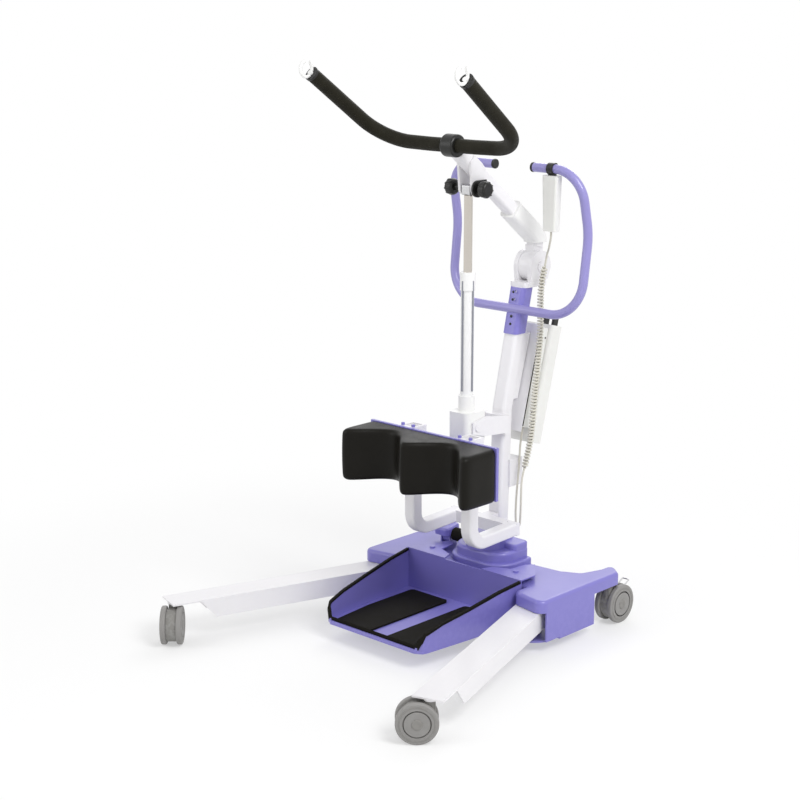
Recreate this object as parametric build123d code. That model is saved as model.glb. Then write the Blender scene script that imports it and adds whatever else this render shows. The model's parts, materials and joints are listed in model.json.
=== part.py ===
from build123d import *
import math
import os

# Sit to stand lift, millimetres. X is the width, +Y the attendant's end, +Z up.
# Lengths along Y are measured from the line through the front castors. The
# finished model is moved so that the middle of its footprint is the origin.

RUN = 0.05  # radial clearance of a turning or sliding fit
GAP = 0.5  # clearance between faces that move past each other

# Base shell and frame
BASE_TOP = 133.0
BASE_SKIN = 4.0
FASCIA_BOTTOM = 102.0
WING_X = 295.0
WING_INNER_X = 192.5
WING_FRONT_Y = 545.0
WING_CORNER_Y = 566.0
CENTRE_FRONT_Y = 614.0
REAR_Y = 757.0
SKIRT_REAR_Y = 753.0
ARM_TIP_Y = 890.0
ARM_CORNER_Y = 850.0
ARM_INNER_X = 247.0
FLOOR_Z = 24.0
FLOOR_T = 5.0
DECK_T = 6.0
EDGE_R = 9.0
NOSE_R = 22.0
TAIL_R = 14.0
TAIL_CURVE = ((245.0, 840.0), (227.0, 785.0), (182.0, 763.0), (113.0, 757.0))
WEB_X = (284.0, 290.0)
INNER_WEB_X = (50.0, 56.0)
GUIDE_X = 110.0

# Legs
PIVOT_X = 228.0
PIVOT_Y = 600.0
PIVOT_R = 12.0
SPLAY = 18.5
LEG_REACH = 608.0
LEG_W = 74.0
LEG_TOP = 100.5
LEG_BOTTOM = 52.0
LEG_T = 4.0
LEG_LIP = 14.0
LEG_CUT_LOW = 511.0
LEG_CUT_HIGH = 551.0
CRANK_R = 40.0
CRANK_PIN_R = 6.0

# Spreader and leg pedal
BAR_Z = 108.0
BAR_T = 8.0
BAR_Y = 654.5
BAR_W = 25.0
PEDAL_X = -160.0
PEDAL_Y = 728.0
LUG_Y = 27.0
LUG_TOP = 35.0
PEDAL_Z = BAR_Z + BAR_T / 2 + CRANK_R

# Castors
FRONT_WHEEL_R = 46.5
REAR_WHEEL_R = 48.5
FRONT_TRAIL = 28.0
REAR_TRAIL = 26.0
CASTOR_W = 51.0
NECK_R = 11.5
WHEEL_W = 13.0
AXLE_R = 5.0
STEM_R = 5.5
REAR_STEM_X = 275.0
REAR_STEM_Y = 835.0
CASTOR_TURN = 43.48
LEVER_X = 9.5
LEVER_Y = -52.0
LEVER_Z = 85.5
WIRE_R = 1.8

# Foot tray
TRAY_BACK_Y = 604.0
TRAY_FRONT_Y = 276.0
TRAY_X = 187.0
TRAY_NOSE_X = 160.0
TRAY_LIP_X = 138.0
TRAY_BOTTOM = 42.0
TRAY_T = 3.0
TRAY_RIM = 146.0
MAT_T = 5.0
MAT_FRONT = 288.0
TRAY_BOLT_X = 138.0
TRAY_BOLT_Y = 641.0

# Turret, mast and boom
TURRET_X = 98.0
TURRET_FRONT_Y = 634.0
SKIRT_TOP = 150.0
SHOULDER_TOP = 176.0
SHOULDER_R = 54.0
STEP_TOP = 190.0
STEP_Y = 700.0
MAST_COLLAR_Y = 692.0
MAST_COLLAR_R = 52.0
FOOT_Z = 204.0
MAST_X = 41.0
MAST_Y = 37.0
MAST_WALL = 3.0
MAST_FOOT_Y = 735.0
MAST_BEND = (745.0, 520.0)
MAST_TOP = (814.0, 818.0)
SLEEVE_LOW = 705.0
SLEEVE_T = 3.0
BOOM_Y = 853.0
BOOM_Z = 866.0
BARREL_R = 39.0
TONGUE_W = 28.0
CHEEK_T = 13.0
BOOM_PIN_R = 8.0
BOOM_W = 34.0
COVER_W = 48.0
COVER_LENGTH = 128.0
BEND_Y = 866.0
BEND_Z = 936.0
HEAD_Y = 552.0
HEAD_Z = 1181.0
COLLAR_R = 27.0
COLLAR_W = 40.0

# Actuator
TOP_PIN_Y = 614.0
TOP_PIN_Z = 1077.0
LOW_PIN_Y = 610.0
LOW_PIN_Z = 500.0
ROD_R = 10.5
OUTER_R = 16.0
OUTER_LOW = 576.0
OUTER_TOP = 834.0
SEAL_TOP = 878.0
SEAL_R = 18.5
EAR_X = 22.0
EAR_T = 6.0

# Handle
HANDLE_R = 12.5
FOAM_R = 16.75
HANDLE_CORNER = (217.0, 548.0, 1184.0)
HANDLE_TIP = (236.5, 333.0, 1342.0)
HANDLE_BEND_R = 95.0

# Push loop
LOOP_R = 11.25
LOOP_END_X = 64.0
LOOP_BENDS = (78.0, 190.0, 90.0)
LOOP_TOP = (203.0, 777.0, 1119.0)
LOOP_MID = (207.0, 808.0, 965.0)
LOOP_LOW = (204.0, 784.0, 766.0)

# Knee support
PLATE_X = 203.0
PLATE_LOW = 375.0
PLATE_TOP = 503.0
PLATE_Y = 485.0
PLATE_T = 8.0
LIMB_X = 92.0
LIMB_Y = 520.0
LIMB_W = 32.0
LIMB_END_Y = 694.0
LIMB_LOW = 241.0
CLAMP_H = 63.0
PAD_HOLLOW = ((14.0, 375.0), (93.0, 447.0), (172.0, 375.0))
PAD_SIDE = ((194.0, 375.0), (203.0, 386.0))

# Control box and battery
BOX_X = 43.0
DOCK_X = 34.0
BOX_LEAN = 15.0
BOX_FOOT = (771.0, 436.0)
BOX_LENGTH = 300.0
DOCK_LOW = 36.0
DOCK_D = 38.0
PACK_D = 43.0

# Handset and cord
HANDSET_X = 118.0
HANDSET_TOP = 1103.0
HANDSET_LOW = 970.0
BUTTON_Z = (1062.0, 1028.0)
CORD_R = 3.0
COIL_R = 8.75


def block(x0, x1, y0, y1, z0, z1):
    """Box between two corners."""
    middle = ((x0 + x1) / 2, (y0 + y1) / 2, (z0 + z1) / 2)
    return Pos(*middle) * Box(x1 - x0, y1 - y0, z1 - z0)


def rod(point, axis, radius, length):
    """Cylinder that starts at a point and runs along an axis."""
    circle = Plane(origin=point, z_dir=axis) * Circle(radius)
    return extrude(circle, amount=length, dir=Vector(axis).normalized())


def column(x, y, z0, z1, radius):
    """Upright cylinder."""
    return rod((x, y, z0), (0, 0, 1), radius, z1 - z0)


def cross_rod(x0, x1, y, z, radius):
    """Cylinder along X."""
    return rod((x0, y, z), (1, 0, 0), radius, x1 - x0)


def flat(points, z0, z1):
    """Prism of a plan outline."""
    face = make_face(Polyline(*[(x, y, z0) for x, y in points], close=True))
    return extrude(face, amount=z1 - z0, dir=(0, 0, 1))


def side(points, x0, x1):
    """Prism of a side outline, given as Y and Z."""
    face = make_face(Polyline(*[(x0, y, z) for y, z in points], close=True))
    return extrude(face, amount=x1 - x0, dir=(1, 0, 0))


def other_side(shape):
    """The same piece on the far side of the lift."""
    return mirror(shape, about=Plane.YZ)


def both_sides(shape):
    return shape + other_side(shape)


def both_ends(points):
    """Closes a half outline, given from the middle outwards, with its mirror image."""
    return points + [(-x, y) for x, y in reversed(points) if x > 0]


def round_plate(x, y0, y1, z0, z1, radius):
    """Plate with four rounded upright corners, centred on X = 0."""
    plate = block(-x, x, y0, y1, z0, z1)
    return fillet(plate.edges().filter_by(Axis.Z), radius)


def tube_path(points, radii):
    return FilletPolyline(*points, radius=radii)


def swept(path, section):
    """Section swept along a path, square to its start."""
    start = Plane(origin=path @ 0, z_dir=path % 0)
    return sweep(start * section, path=path)


def square_tube_section(width, radius):
    return RectangleRounded(width, width, radius)


# ---------------------------------------------------------------- base

def cover_outline():
    return both_ends([
        (0, CENTRE_FRONT_Y),
        (WING_INNER_X, CENTRE_FRONT_Y),
        (WING_INNER_X, WING_CORNER_Y),
        (WING_X, WING_FRONT_Y),
        (WING_X, ARM_CORNER_Y),
        (ARM_INNER_X, ARM_TIP_Y),
        *TAIL_CURVE,
        (0, REAR_Y),
    ])


def corner_edges(shape, points):
    """Upright edges of a shape that stand on the given plan points, on both sides."""
    found = []
    for edge in shape.edges().filter_by(Axis.Z):
        spot = edge @ 0.5
        for x, y in points:
            if abs(abs(spot.X) - x) < 0.1 and abs(spot.Y - y) < 0.1:
                found.append(edge)
    return found


def base_cover():
    """Purple pressed shell over the base."""
    top = flat(cover_outline(), FASCIA_BOTTOM, BASE_TOP)
    nose = [(WING_INNER_X, WING_CORNER_Y), (WING_X, WING_FRONT_Y)]
    tail = [(WING_X, ARM_CORNER_Y), (ARM_INNER_X, ARM_TIP_Y), TAIL_CURVE[1], TAIL_CURVE[2]]
    top = fillet(corner_edges(top, nose), NOSE_R)
    top = fillet(corner_edges(top, tail), TAIL_R)
    under = top.faces().sort_by(Axis.Z)[0]
    hollow = extrude(
        offset(under, amount=-BASE_SKIN), amount=BASE_TOP - BASE_SKIN - FASCIA_BOTTOM, dir=(0, 0, 1)
    )
    shell = fillet(top.edges().group_by(Axis.Z)[-1], EDGE_R) - hollow
    skirt = block(
        WING_X - BASE_SKIN, WING_X, WING_FRONT_Y + NOSE_R, SKIRT_REAR_Y, FLOOR_Z + FLOOR_T,
        FASCIA_BOTTOM,
    )
    pedal_slot = block(
        PEDAL_X - 8, PEDAL_X + 8, PEDAL_Y - 16, PEDAL_Y + 16, FASCIA_BOTTOM, BASE_TOP
    )
    return shell + both_sides(skirt) - pedal_slot


def guide_pin():
    """Headed pin that carries the sliding bar under the deck."""
    y = BAR_Y - 5
    head = column(GUIDE_X, y, BAR_Z - 6, BAR_Z - 0.1, 9)
    return head + column(GUIDE_X, y, BAR_Z - 0.1, BASE_TOP - BASE_SKIN - DECK_T, 5)


def base_frame():
    """Welded frame inside the shell: floor, deck, webs and castor arms."""
    deck_low = BASE_TOP - BASE_SKIN - DECK_T
    deck_high = BASE_TOP - BASE_SKIN
    floor = block(-WING_X, WING_X, PIVOT_Y + 18, SKIRT_REAR_Y, FLOOR_Z, FLOOR_Z + FLOOR_T)
    lobe = column(PIVOT_X, PIVOT_Y, FLOOR_Z, FLOOR_Z + FLOOR_T, 60)
    floor = floor + both_sides(lobe)
    deck = block(-285, 285, CENTRE_FRONT_Y + 8, 742, deck_low, deck_high)
    ear = column(PIVOT_X, PIVOT_Y, deck_low, deck_high, 26)
    ear = ear + block(PIVOT_X - 26, 285, PIVOT_Y, CENTRE_FRONT_Y + 10, deck_low, deck_high)
    outer_web = block(*WEB_X, BAR_Y + 5.5, REAR_Y - 12, FLOOR_Z + FLOOR_T, deck_high)
    inner_web = block(*INNER_WEB_X, BAR_Y + 29.5, REAR_Y - 15, FLOOR_Z + FLOOR_T, deck_low)
    arm = block(252, 290, 740, ARM_CORNER_Y - 2, deck_high - 12, deck_high)
    boss = column(REAR_STEM_X, REAR_STEM_Y, FASCIA_BOTTOM, deck_high - 12, 13)
    half = ear + outer_web + inner_web + arm + boss + guide_pin()
    half = half - column(REAR_STEM_X, REAR_STEM_Y, FASCIA_BOTTOM, deck_high - 3, STEM_R + RUN)
    frame = floor + deck + both_sides(half)
    pins = both_sides(column(PIVOT_X, PIVOT_Y, FLOOR_Z, deck_high, PIVOT_R))
    slot = block(
        PEDAL_X - 8, PEDAL_X + 8, PEDAL_Y - 16, PEDAL_Y + 16, deck_low, deck_high
    )
    return frame - pins - slot


def leg_pivot_pins():
    high = BASE_TOP - BASE_SKIN
    return both_sides(column(PIVOT_X, PIVOT_Y, FLOOR_Z, high, PIVOT_R))


# ---------------------------------------------------------------- legs

def leg_at_rest():
    """Inverted channel leg with its pivot tube and crank, swung out on the +X side."""
    half = LEG_W / 2
    inner_top = LEG_TOP - LEG_T
    plate = block(-half, half, -LEG_REACH - LEG_LIP, 0, inner_top, LEG_TOP)
    plate = plate + column(0, 0, inner_top, LEG_TOP, half)
    wall = side(
        [(0, LEG_BOTTOM), (-LEG_CUT_LOW, LEG_BOTTOM), (-LEG_CUT_HIGH, inner_top), (0, inner_top)],
        half - LEG_T, half,
    )
    ring = column(0, 0, LEG_BOTTOM, inner_top, half) - column(0, 0, LEG_BOTTOM, inner_top, half - LEG_T)
    ring = ring - block(-half, half, -half, 0, LEG_BOTTOM, inner_top)
    hub = column(0, 0, FLOOR_Z + FLOOR_T + GAP, inner_top, PIVOT_R + 8)
    rib = block(-half + LEG_T, half - LEG_T, -3, 3, LEG_BOTTOM, inner_top)
    boss = column(0, -LEG_REACH, inner_top - 4, inner_top, 14)
    turn = math.radians(-SPLAY / 2)
    crank_x = CRANK_R * math.cos(turn)
    crank_y = CRANK_R * math.sin(turn)
    lug = column(crank_x, crank_y, inner_top, LEG_TOP, 10)
    pin = column(crank_x, crank_y, LEG_TOP, BAR_Z + BAR_T + 2, CRANK_PIN_R)
    leg = plate + both_sides(wall) + ring + rib + hub + boss + lug + pin
    leg = leg - column(0, 0, FLOOR_Z, LEG_TOP, PIVOT_R + RUN)
    leg = leg - column(0, -LEG_REACH, LEG_BOTTOM, LEG_TOP - 1, STEM_R + RUN)
    return Pos(PIVOT_X, PIVOT_Y, 0) * Rot(0, 0, SPLAY) * leg


def stem_place():
    """Where the front castor's stem stands on the +X side."""
    splay = math.radians(SPLAY)
    return PIVOT_X + LEG_REACH * math.sin(splay), PIVOT_Y - LEG_REACH * math.cos(splay)


def spreader_travel():
    """How far the bar slides between legs open and legs parallel."""
    return 2 * CRANK_R * math.sin(math.radians(SPLAY / 2))


def spreader_bar():
    """Sliding bar whose end slots drive the two leg cranks."""
    travel = spreader_travel()
    z1 = BAR_Z + BAR_T
    crank_y = PIVOT_Y + travel / 2
    crank_x = PIVOT_X + CRANK_R * (1 + math.cos(math.radians(SPLAY / 2))) / 2
    arm = block(crank_x - 14, crank_x + 14, crank_y - 14, BAR_Y, BAR_Z, z1)
    pad = block(GUIDE_X - 12, GUIDE_X + 12, BAR_Y - 18, BAR_Y + 21, BAR_Z, z1)
    crank_slot = block(
        crank_x - CRANK_PIN_R - 0.8, crank_x + CRANK_PIN_R + 0.8,
        crank_y - CRANK_PIN_R - 0.12, crank_y + CRANK_PIN_R + 0.12, BAR_Z, z1,
    )
    guide_y = BAR_Y - 5
    guide_slot = block(
        GUIDE_X - 5.1, GUIDE_X + 5.1, guide_y - 5.6, guide_y + travel + 5.6, BAR_Z, z1
    )
    cross = block(-crank_x - 14, crank_x + 14, BAR_Y - BAR_W / 2, BAR_Y + BAR_W / 2, BAR_Z, z1)
    tip_y = PEDAL_Y + travel / 2
    tongue = block(PEDAL_X - 11, PEDAL_X + 11, BAR_Y, tip_y + 9, BAR_Z, z1)
    tip_slot = block(PEDAL_X - 6.5, PEDAL_X + 6.5, tip_y - 5.12, tip_y + 5.12, BAR_Z, z1)
    bar = cross + both_sides(arm + pad) + tongue
    return bar - both_sides(crank_slot + guide_slot) - tip_slot


def pedal_bracket():
    """Two purple cheeks and a cross pin that carry the leg pedal."""
    lift = PEDAL_Z - BASE_TOP
    cheek = block(
        PEDAL_X + 11.5, PEDAL_X + 15.5, PEDAL_Y - 14, PEDAL_Y + 14, BASE_TOP, BASE_TOP + lift
    )
    cheek = cheek + cross_rod(PEDAL_X + 11.5, PEDAL_X + 15.5, PEDAL_Y, PEDAL_Z, 14)
    mirrored = Pos(-27, 0, 0) * cheek
    pin = cross_rod(PEDAL_X - 15.5, PEDAL_X + 15.5, PEDAL_Y, PEDAL_Z, 5)
    return cheek + mirrored + pin


def leg_pedal():
    """Rocking lever with its tread tube and the arm that moves the bar."""
    hub = cross_rod(PEDAL_X - 11, PEDAL_X + 11, PEDAL_Y, PEDAL_Z, 12)
    arm = block(PEDAL_X - 5, PEDAL_X + 5, PEDAL_Y - 4.5, PEDAL_Y + 4.5, PEDAL_Z - CRANK_R, PEDAL_Z)
    tip = cross_rod(PEDAL_X - 6, PEDAL_X + 6, PEDAL_Y, PEDAL_Z - CRANK_R, 5)
    web = block(PEDAL_X - 11, PEDAL_X + 11, PEDAL_Y - 12, PEDAL_Y + 12, PEDAL_Z, PEDAL_Z + 18)
    lug = block(
        PEDAL_X - 28, PEDAL_X + 22, PEDAL_Y - LUG_Y, PEDAL_Y + LUG_Y, PEDAL_Z + 15.5, PEDAL_Z + LUG_TOP
    )
    lug = fillet(lug.edges().filter_by(Axis.Z), 12)
    lug = fillet(lug.edges().group_by(Axis.Z)[-1], 6)
    lever = hub + arm + tip + web + lug
    lever = lever - cross_rod(PEDAL_X - 30, PEDAL_X + 30, PEDAL_Y, PEDAL_Z, 5 + RUN)
    return turn_pedal(lever)


def turn_pedal(shape):
    """Tips a piece of the pedal to where it is with the legs open."""
    at = Pos(0, PEDAL_Y, PEDAL_Z)
    return at * Rot(SPLAY / 2, 0, 0) * Pos(0, -PEDAL_Y, -PEDAL_Z) * shape


def pedal_pad():
    """Black rubber roller on the inner end of the pedal."""
    roller = cross_rod(PEDAL_X + 22, PEDAL_X + 58, PEDAL_Y + 2, PEDAL_Z + 13, 17)
    return turn_pedal(fillet(roller.edges().filter_by(GeomType.CIRCLE)[-1], 6))


# ---------------------------------------------------------------- castors

def castor_hood(axle_z, wheel_r, trail, top):
    """Body between the two wheels, with its stem on the swivel axis."""
    width = CASTOR_W / 2 - WHEEL_W - GAP
    hood = cross_rod(-width, width, -trail, axle_z, wheel_r - 7)
    neck = column(0, 0, axle_z + 6, top, NECK_R)
    web = block(-width + 4, width - 4, -trail, 10, axle_z, top - 6)
    hood = hood + neck + web
    hood = hood - cross_rod(-width - 1, width + 1, -trail, axle_z, AXLE_R + RUN)
    return hood


def castor_wheels(axle_z, wheel_r, trail):
    """Two tyred wheels on one axle."""
    outer = CASTOR_W / 2
    inner = outer - WHEEL_W
    wheel = cross_rod(inner, outer, -trail, axle_z, wheel_r)
    wheel = fillet(wheel.edges().filter_by(GeomType.CIRCLE), 3.5)
    ring = cross_rod(outer - 2, outer, -trail, axle_z, wheel_r * 0.66)
    ring = ring - cross_rod(outer - 2, outer, -trail, axle_z, wheel_r * 0.60)
    wheel = wheel - ring
    axle = cross_rod(-inner, inner, -trail, axle_z, AXLE_R)
    return both_sides(wheel) + axle


def place_castor(shape, x, y, turn):
    return Pos(x, y, 0) * Rot(0, 0, turn) * shape


def brake_lever():
    """Wire loop hinged in the lug at the back of a rear castor's hood."""
    tip_y = LEVER_Y - 21
    tip_z = LEVER_Z + 11.5
    points = [(LEVER_X, LEVER_Y, LEVER_Z), (LEVER_X, tip_y, tip_z),
              (-LEVER_X, tip_y, tip_z), (-LEVER_X, LEVER_Y, LEVER_Z)]
    loop = swept(tube_path(points, [4, 4]), Circle(WIRE_R))
    return loop + cross_rod(-LEVER_X, LEVER_X, LEVER_Y, LEVER_Z, WIRE_R)


def brake_lug(hood):
    """Adds the lug that the brake lever's wire turns in."""
    lug = cross_rod(-LEVER_X + 4, LEVER_X - 4, LEVER_Y, LEVER_Z, 5)
    return hood + lug - cross_rod(-LEVER_X, LEVER_X, LEVER_Y, LEVER_Z, WIRE_R + RUN)


# ---------------------------------------------------------------- foot tray

def tray_outline():
    return both_ends([
        (0, TRAY_FRONT_Y),
        (TRAY_LIP_X, TRAY_FRONT_Y),
        (TRAY_NOSE_X - 4, TRAY_FRONT_Y + 11),
        (TRAY_NOSE_X, TRAY_FRONT_Y + 24),
        (174, 430),
        (TRAY_X, TRAY_BACK_Y),
        (0, TRAY_BACK_Y),
    ])


def rim_line(raise_by):
    """Side view of the tray's rim, from the back wall to the front lip."""
    line = [
        (TRAY_BACK_Y, TRAY_RIM), (530, 137), (420, 117), (345, 104),
        (TRAY_FRONT_Y + 18, 89), (TRAY_FRONT_Y + 8, 70), (TRAY_FRONT_Y + 3, 52),
        (TRAY_FRONT_Y - 10, 52),
    ]
    return [(y, z + raise_by) for y, z in line]


def tray_shell():
    body = flat(tray_outline(), TRAY_BOTTOM, TRAY_RIM)
    bottom = body.faces().sort_by(Axis.Z)[0]
    inside = Pos(0, 0, TRAY_T) * extrude(
        offset(bottom, amount=-TRAY_T), amount=TRAY_RIM, dir=(0, 0, 1)
    )
    return body - inside


def above_rim():
    sky = TRAY_RIM + 60
    line = rim_line(0)
    return side(line + [(line[-1][0], sky), (TRAY_BACK_Y + 1, sky), (TRAY_BACK_Y + 1, TRAY_RIM)],
                -TRAY_X - 5, TRAY_X + 5)


def tray_ear():
    """Flange bent back over the base, on the +X side."""
    ear = flat(
        [(60, TRAY_BACK_Y - TRAY_T), (TRAY_X, TRAY_BACK_Y - TRAY_T), (TRAY_X, 655), (137, 717),
         (120, 700), (114, 650), (72, 632)],
        TRAY_RIM, TRAY_RIM + TRAY_T,
    )
    return ear - column(TRAY_BOLT_X, TRAY_BOLT_Y, TRAY_RIM, TRAY_RIM + TRAY_T, 4)


def foot_tray():
    return tray_shell() - above_rim() + both_sides(tray_ear())


def tray_trim():
    """Black edging pressed onto the tray's side rims."""
    plan = flat(tray_outline(), TRAY_BOTTOM, TRAY_RIM + 10)
    bottom = plan.faces().sort_by(Axis.Z)[0]
    outer = extrude(offset(bottom, amount=2), amount=120, dir=(0, 0, 1))
    inner = extrude(offset(bottom, amount=-TRAY_T - 2), amount=120, dir=(0, 0, 1))
    low = rim_line(-4)
    high = rim_line(2)
    band = side(low + list(reversed(high)), -TRAY_X - 5, TRAY_X + 5)
    trim = (outer - inner) & band
    keep = block(-TRAY_X - 5, TRAY_X + 5, TRAY_FRONT_Y + 4, TRAY_BACK_Y - TRAY_T - 2, 0, TRAY_RIM + 10)
    return (trim & keep) - foot_tray()


def tread_mat():
    """Ribbed foot mat on the +X side of the tray."""
    z = TRAY_BOTTOM + TRAY_T
    mat = flat([(28, MAT_FRONT), (137, MAT_FRONT), (151, 420), (151, 580), (28, 580)], z, z + MAT_T)
    return fillet(mat.edges().filter_by(Axis.Z), 10)


def tray_fixings():
    """Bolt and spacer under each of the tray's ears."""
    top = TRAY_RIM + TRAY_T
    spacer = column(TRAY_BOLT_X, TRAY_BOLT_Y, BASE_TOP, TRAY_RIM, 9)
    shank = column(TRAY_BOLT_X, TRAY_BOLT_Y, TRAY_RIM, top, 4)
    head = column(TRAY_BOLT_X, TRAY_BOLT_Y, top, top + 4, 7)
    return both_sides(spacer + shank + head)


# ---------------------------------------------------------------- turret and mast

def nosed_plate(x, y0, y1, z0, z1, front_r, rear_r, edge_r):
    """Plate with wide front corners, small rear corners and a soft top edge."""
    plate = block(-x, x, y0, y1, z0, z1)
    plate = fillet(corner_edges(plate, [(x, y0)]), front_r)
    plate = fillet(corner_edges(plate, [(x, y1)]), rear_r)
    return fillet(plate.edges().group_by(Axis.Z)[-1], edge_r)


def turret():
    """Purple moulded housing round the mast's foot: skirt, shoulder, step and collar."""
    skirt = nosed_plate(
        TURRET_X, TURRET_FRONT_Y, REAR_Y, BASE_TOP, SKIRT_TOP, SHOULDER_R + 8, 12, 5
    )
    shoulder = nosed_plate(
        TURRET_X - 13, TURRET_FRONT_Y + 9, REAR_Y, SKIRT_TOP - 6, SHOULDER_TOP, SHOULDER_R, 12, 8
    )
    step = nosed_plate(TURRET_X - 14, STEP_Y, REAR_Y, SHOULDER_TOP - 9, STEP_TOP, 10, 12, 5)
    collar = column(0, MAST_COLLAR_Y, SHOULDER_TOP - 1, FOOT_Z, MAST_COLLAR_R)
    collar = fillet(collar.edges().group_by(Axis.Z)[-1], 3)
    socket = round_plate(34, STEP_Y, REAR_Y, STEP_TOP - 1, FOOT_Z, 8)
    hollow = round_plate(
        TURRET_X - 24, TURRET_FRONT_Y + 20, REAR_Y - 8, BASE_TOP, SHOULDER_TOP - 8, 24
    )
    return skirt + shoulder + step + collar + socket - hollow


def mast_line(y_shift):
    """Front or rear side of the mast in side view."""
    tilt = math.atan2(MAST_TOP[0] - MAST_BEND[0], MAST_TOP[1] - MAST_BEND[1])
    slant = y_shift / math.cos(tilt)
    return [
        (MAST_FOOT_Y + y_shift, FOOT_Z),
        (MAST_BEND[0] + y_shift, MAST_BEND[1] - y_shift * math.tan(tilt / 2)),
        (MAST_TOP[0] + slant, MAST_TOP[1]),
    ]


def mast_solid(grow):
    """Filled mast, grown by a skin on every side."""
    half_y = MAST_Y / 2 + grow
    half_x = MAST_X / 2 + grow
    outline = mast_line(-half_y) + list(reversed(mast_line(half_y)))
    body = side(outline, -half_x, half_x)
    chains = [e for e in body.edges() if abs(e.tangent_at(0.5).Z) > 0.5 and abs(e.tangent_at(0.5).X) < 0.1]
    return fillet(chains, 9 + grow)


def mast_axis_y(z):
    """Y of the mast's centre line in its leaning part."""
    part = (z - MAST_BEND[1]) / (MAST_TOP[1] - MAST_BEND[1])
    return MAST_BEND[0] + part * (MAST_TOP[0] - MAST_BEND[0])


def mast():
    return mast_solid(0) - mast_solid(-MAST_WALL) - push_loop_solid()


def mast_sleeve():
    """Purple reinforcing sleeve with two pairs of holes."""
    sleeve = mast_solid(SLEEVE_T) & block(-60, 60, 600, 950, SLEEVE_LOW, MAST_TOP[1])
    sleeve = sleeve - mast_solid(0) - push_loop_solid()
    for z in (808, 789, 748, 729):
        front = mast_axis_y(z) - MAST_Y / 2 - 12
        sleeve = sleeve - rod((0, front, z), (0, 1, 0), 3.5, 14)
    return sleeve


def mast_head():
    """White casting on the mast with two cheeks for the boom."""
    z0 = MAST_TOP[1]
    cap = Pos(0, MAST_TOP[0] + 19, 0) * round_plate(28.5, -36, 49, z0, z0 + 13, 12)
    inner = TONGUE_W / 2 + GAP
    outer = inner + CHEEK_T
    cheek = cross_rod(inner, outer, BOOM_Y, BOOM_Z, BARREL_R)
    cheek = cheek + side(
        [(BOOM_Y - 35, z0 + 13), (BOOM_Y + 28, z0 + 13), (BOOM_Y + BARREL_R, BOOM_Z),
         (BOOM_Y - BARREL_R, BOOM_Z)],
        inner, outer,
    )
    head = cap + both_sides(cheek) - cross_rod(-inner, inner, BOOM_Y, BOOM_Z, BARREL_R)
    return head - cross_rod(-60, 60, BOOM_Y, BOOM_Z, BOOM_PIN_R)


def boom_pin():
    outer = TONGUE_W / 2 + GAP + CHEEK_T
    pin = cross_rod(-outer, outer, BOOM_Y, BOOM_Z, BOOM_PIN_R)
    return pin + both_sides(cross_rod(outer, outer + 3, BOOM_Y, BOOM_Z, BOOM_PIN_R + 5))


def junction_block():
    """White block behind the lower mast."""
    return block(-27, 27, 746, 794, 320, 390) - mast_solid(0)


# ---------------------------------------------------------------- boom

def boom_direction():
    """Unit vector of the boom's long part, in Y and Z."""
    dy = HEAD_Y - BEND_Y
    dz = HEAD_Z - BEND_Z
    length = math.hypot(dy, dz)
    return dy / length, dz / length, length


def boom_path():
    start = (0, BOOM_Y + 7, BOOM_Z + BARREL_R + 9)
    dy, dz, length = boom_direction()
    end = (0, HEAD_Y - dy * COLLAR_R * 0.5, HEAD_Z - dz * COLLAR_R * 0.5)
    return tube_path([start, (0, BEND_Y, BEND_Z), end], [24])


def boom_clevis():
    """Widened head with the two ears for the actuator's rod end."""
    ear = cross_rod(EAR_X - EAR_T, EAR_X, TOP_PIN_Y, TOP_PIN_Z, 16)
    ear = ear + side(
        [(TOP_PIN_Y - 16, TOP_PIN_Z), (TOP_PIN_Y + 16, TOP_PIN_Z), (TOP_PIN_Y + 34, TOP_PIN_Z + 43),
         (TOP_PIN_Y - 8, TOP_PIN_Z + 75), (TOP_PIN_Y - 22, TOP_PIN_Z + 63)],
        EAR_X - EAR_T, EAR_X,
    )
    bridge = side(
        [(TOP_PIN_Y + 34, TOP_PIN_Z + 43), (TOP_PIN_Y + 18, TOP_PIN_Z + 60), (TOP_PIN_Y - 8, TOP_PIN_Z + 79),
         (TOP_PIN_Y - 22, TOP_PIN_Z + 63), (TOP_PIN_Y - 12, TOP_PIN_Z + 47), (TOP_PIN_Y + 14, TOP_PIN_Z + 31)],
        -EAR_X, EAR_X,
    )
    return both_sides(ear) + bridge


def boom():
    """White lifting boom from the pivot tongue to the handle collar."""
    tongue = cross_rod(-TONGUE_W / 2, TONGUE_W / 2, BOOM_Y, BOOM_Z, BARREL_R - 1)
    neck = side(
        [(BOOM_Y - 12, BOOM_Z), (BOOM_Y + 22, BOOM_Z), (BOOM_Y + 24, BOOM_Z + BARREL_R + 14),
         (BOOM_Y - 11, BOOM_Z + BARREL_R + 14)],
        -TONGUE_W / 2, TONGUE_W / 2,
    )
    beam = swept(boom_path(), square_tube_section(BOOM_W, 9))
    solid = tongue + neck + beam + boom_clevis()
    solid = solid - cross_rod(-40, 40, HEAD_Y, HEAD_Z, COLLAR_R)
    solid = solid - cross_rod(-60, 60, BOOM_Y, BOOM_Z, BOOM_PIN_R + RUN)
    return solid - cross_rod(-60, 60, TOP_PIN_Y, TOP_PIN_Z, 5 + RUN)


def boom_cover():
    """Thicker moulded cover round the boom's bend."""
    whole = boom_path()
    skin = swept(whole, square_tube_section(COVER_W, 13))
    dy, dz, length = boom_direction()
    stop = (0, BEND_Y + dy * COVER_LENGTH, BEND_Z + dz * COVER_LENGTH)
    keep = rod(stop, (0, -dy, -dz), 90, COVER_LENGTH + 78)
    keep = keep & block(-60, 60, BEND_Y - 160, BEND_Y + 140, BOOM_Z + BARREL_R + 20, BEND_Z + 160)
    return (skin & keep) - boom()


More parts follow.
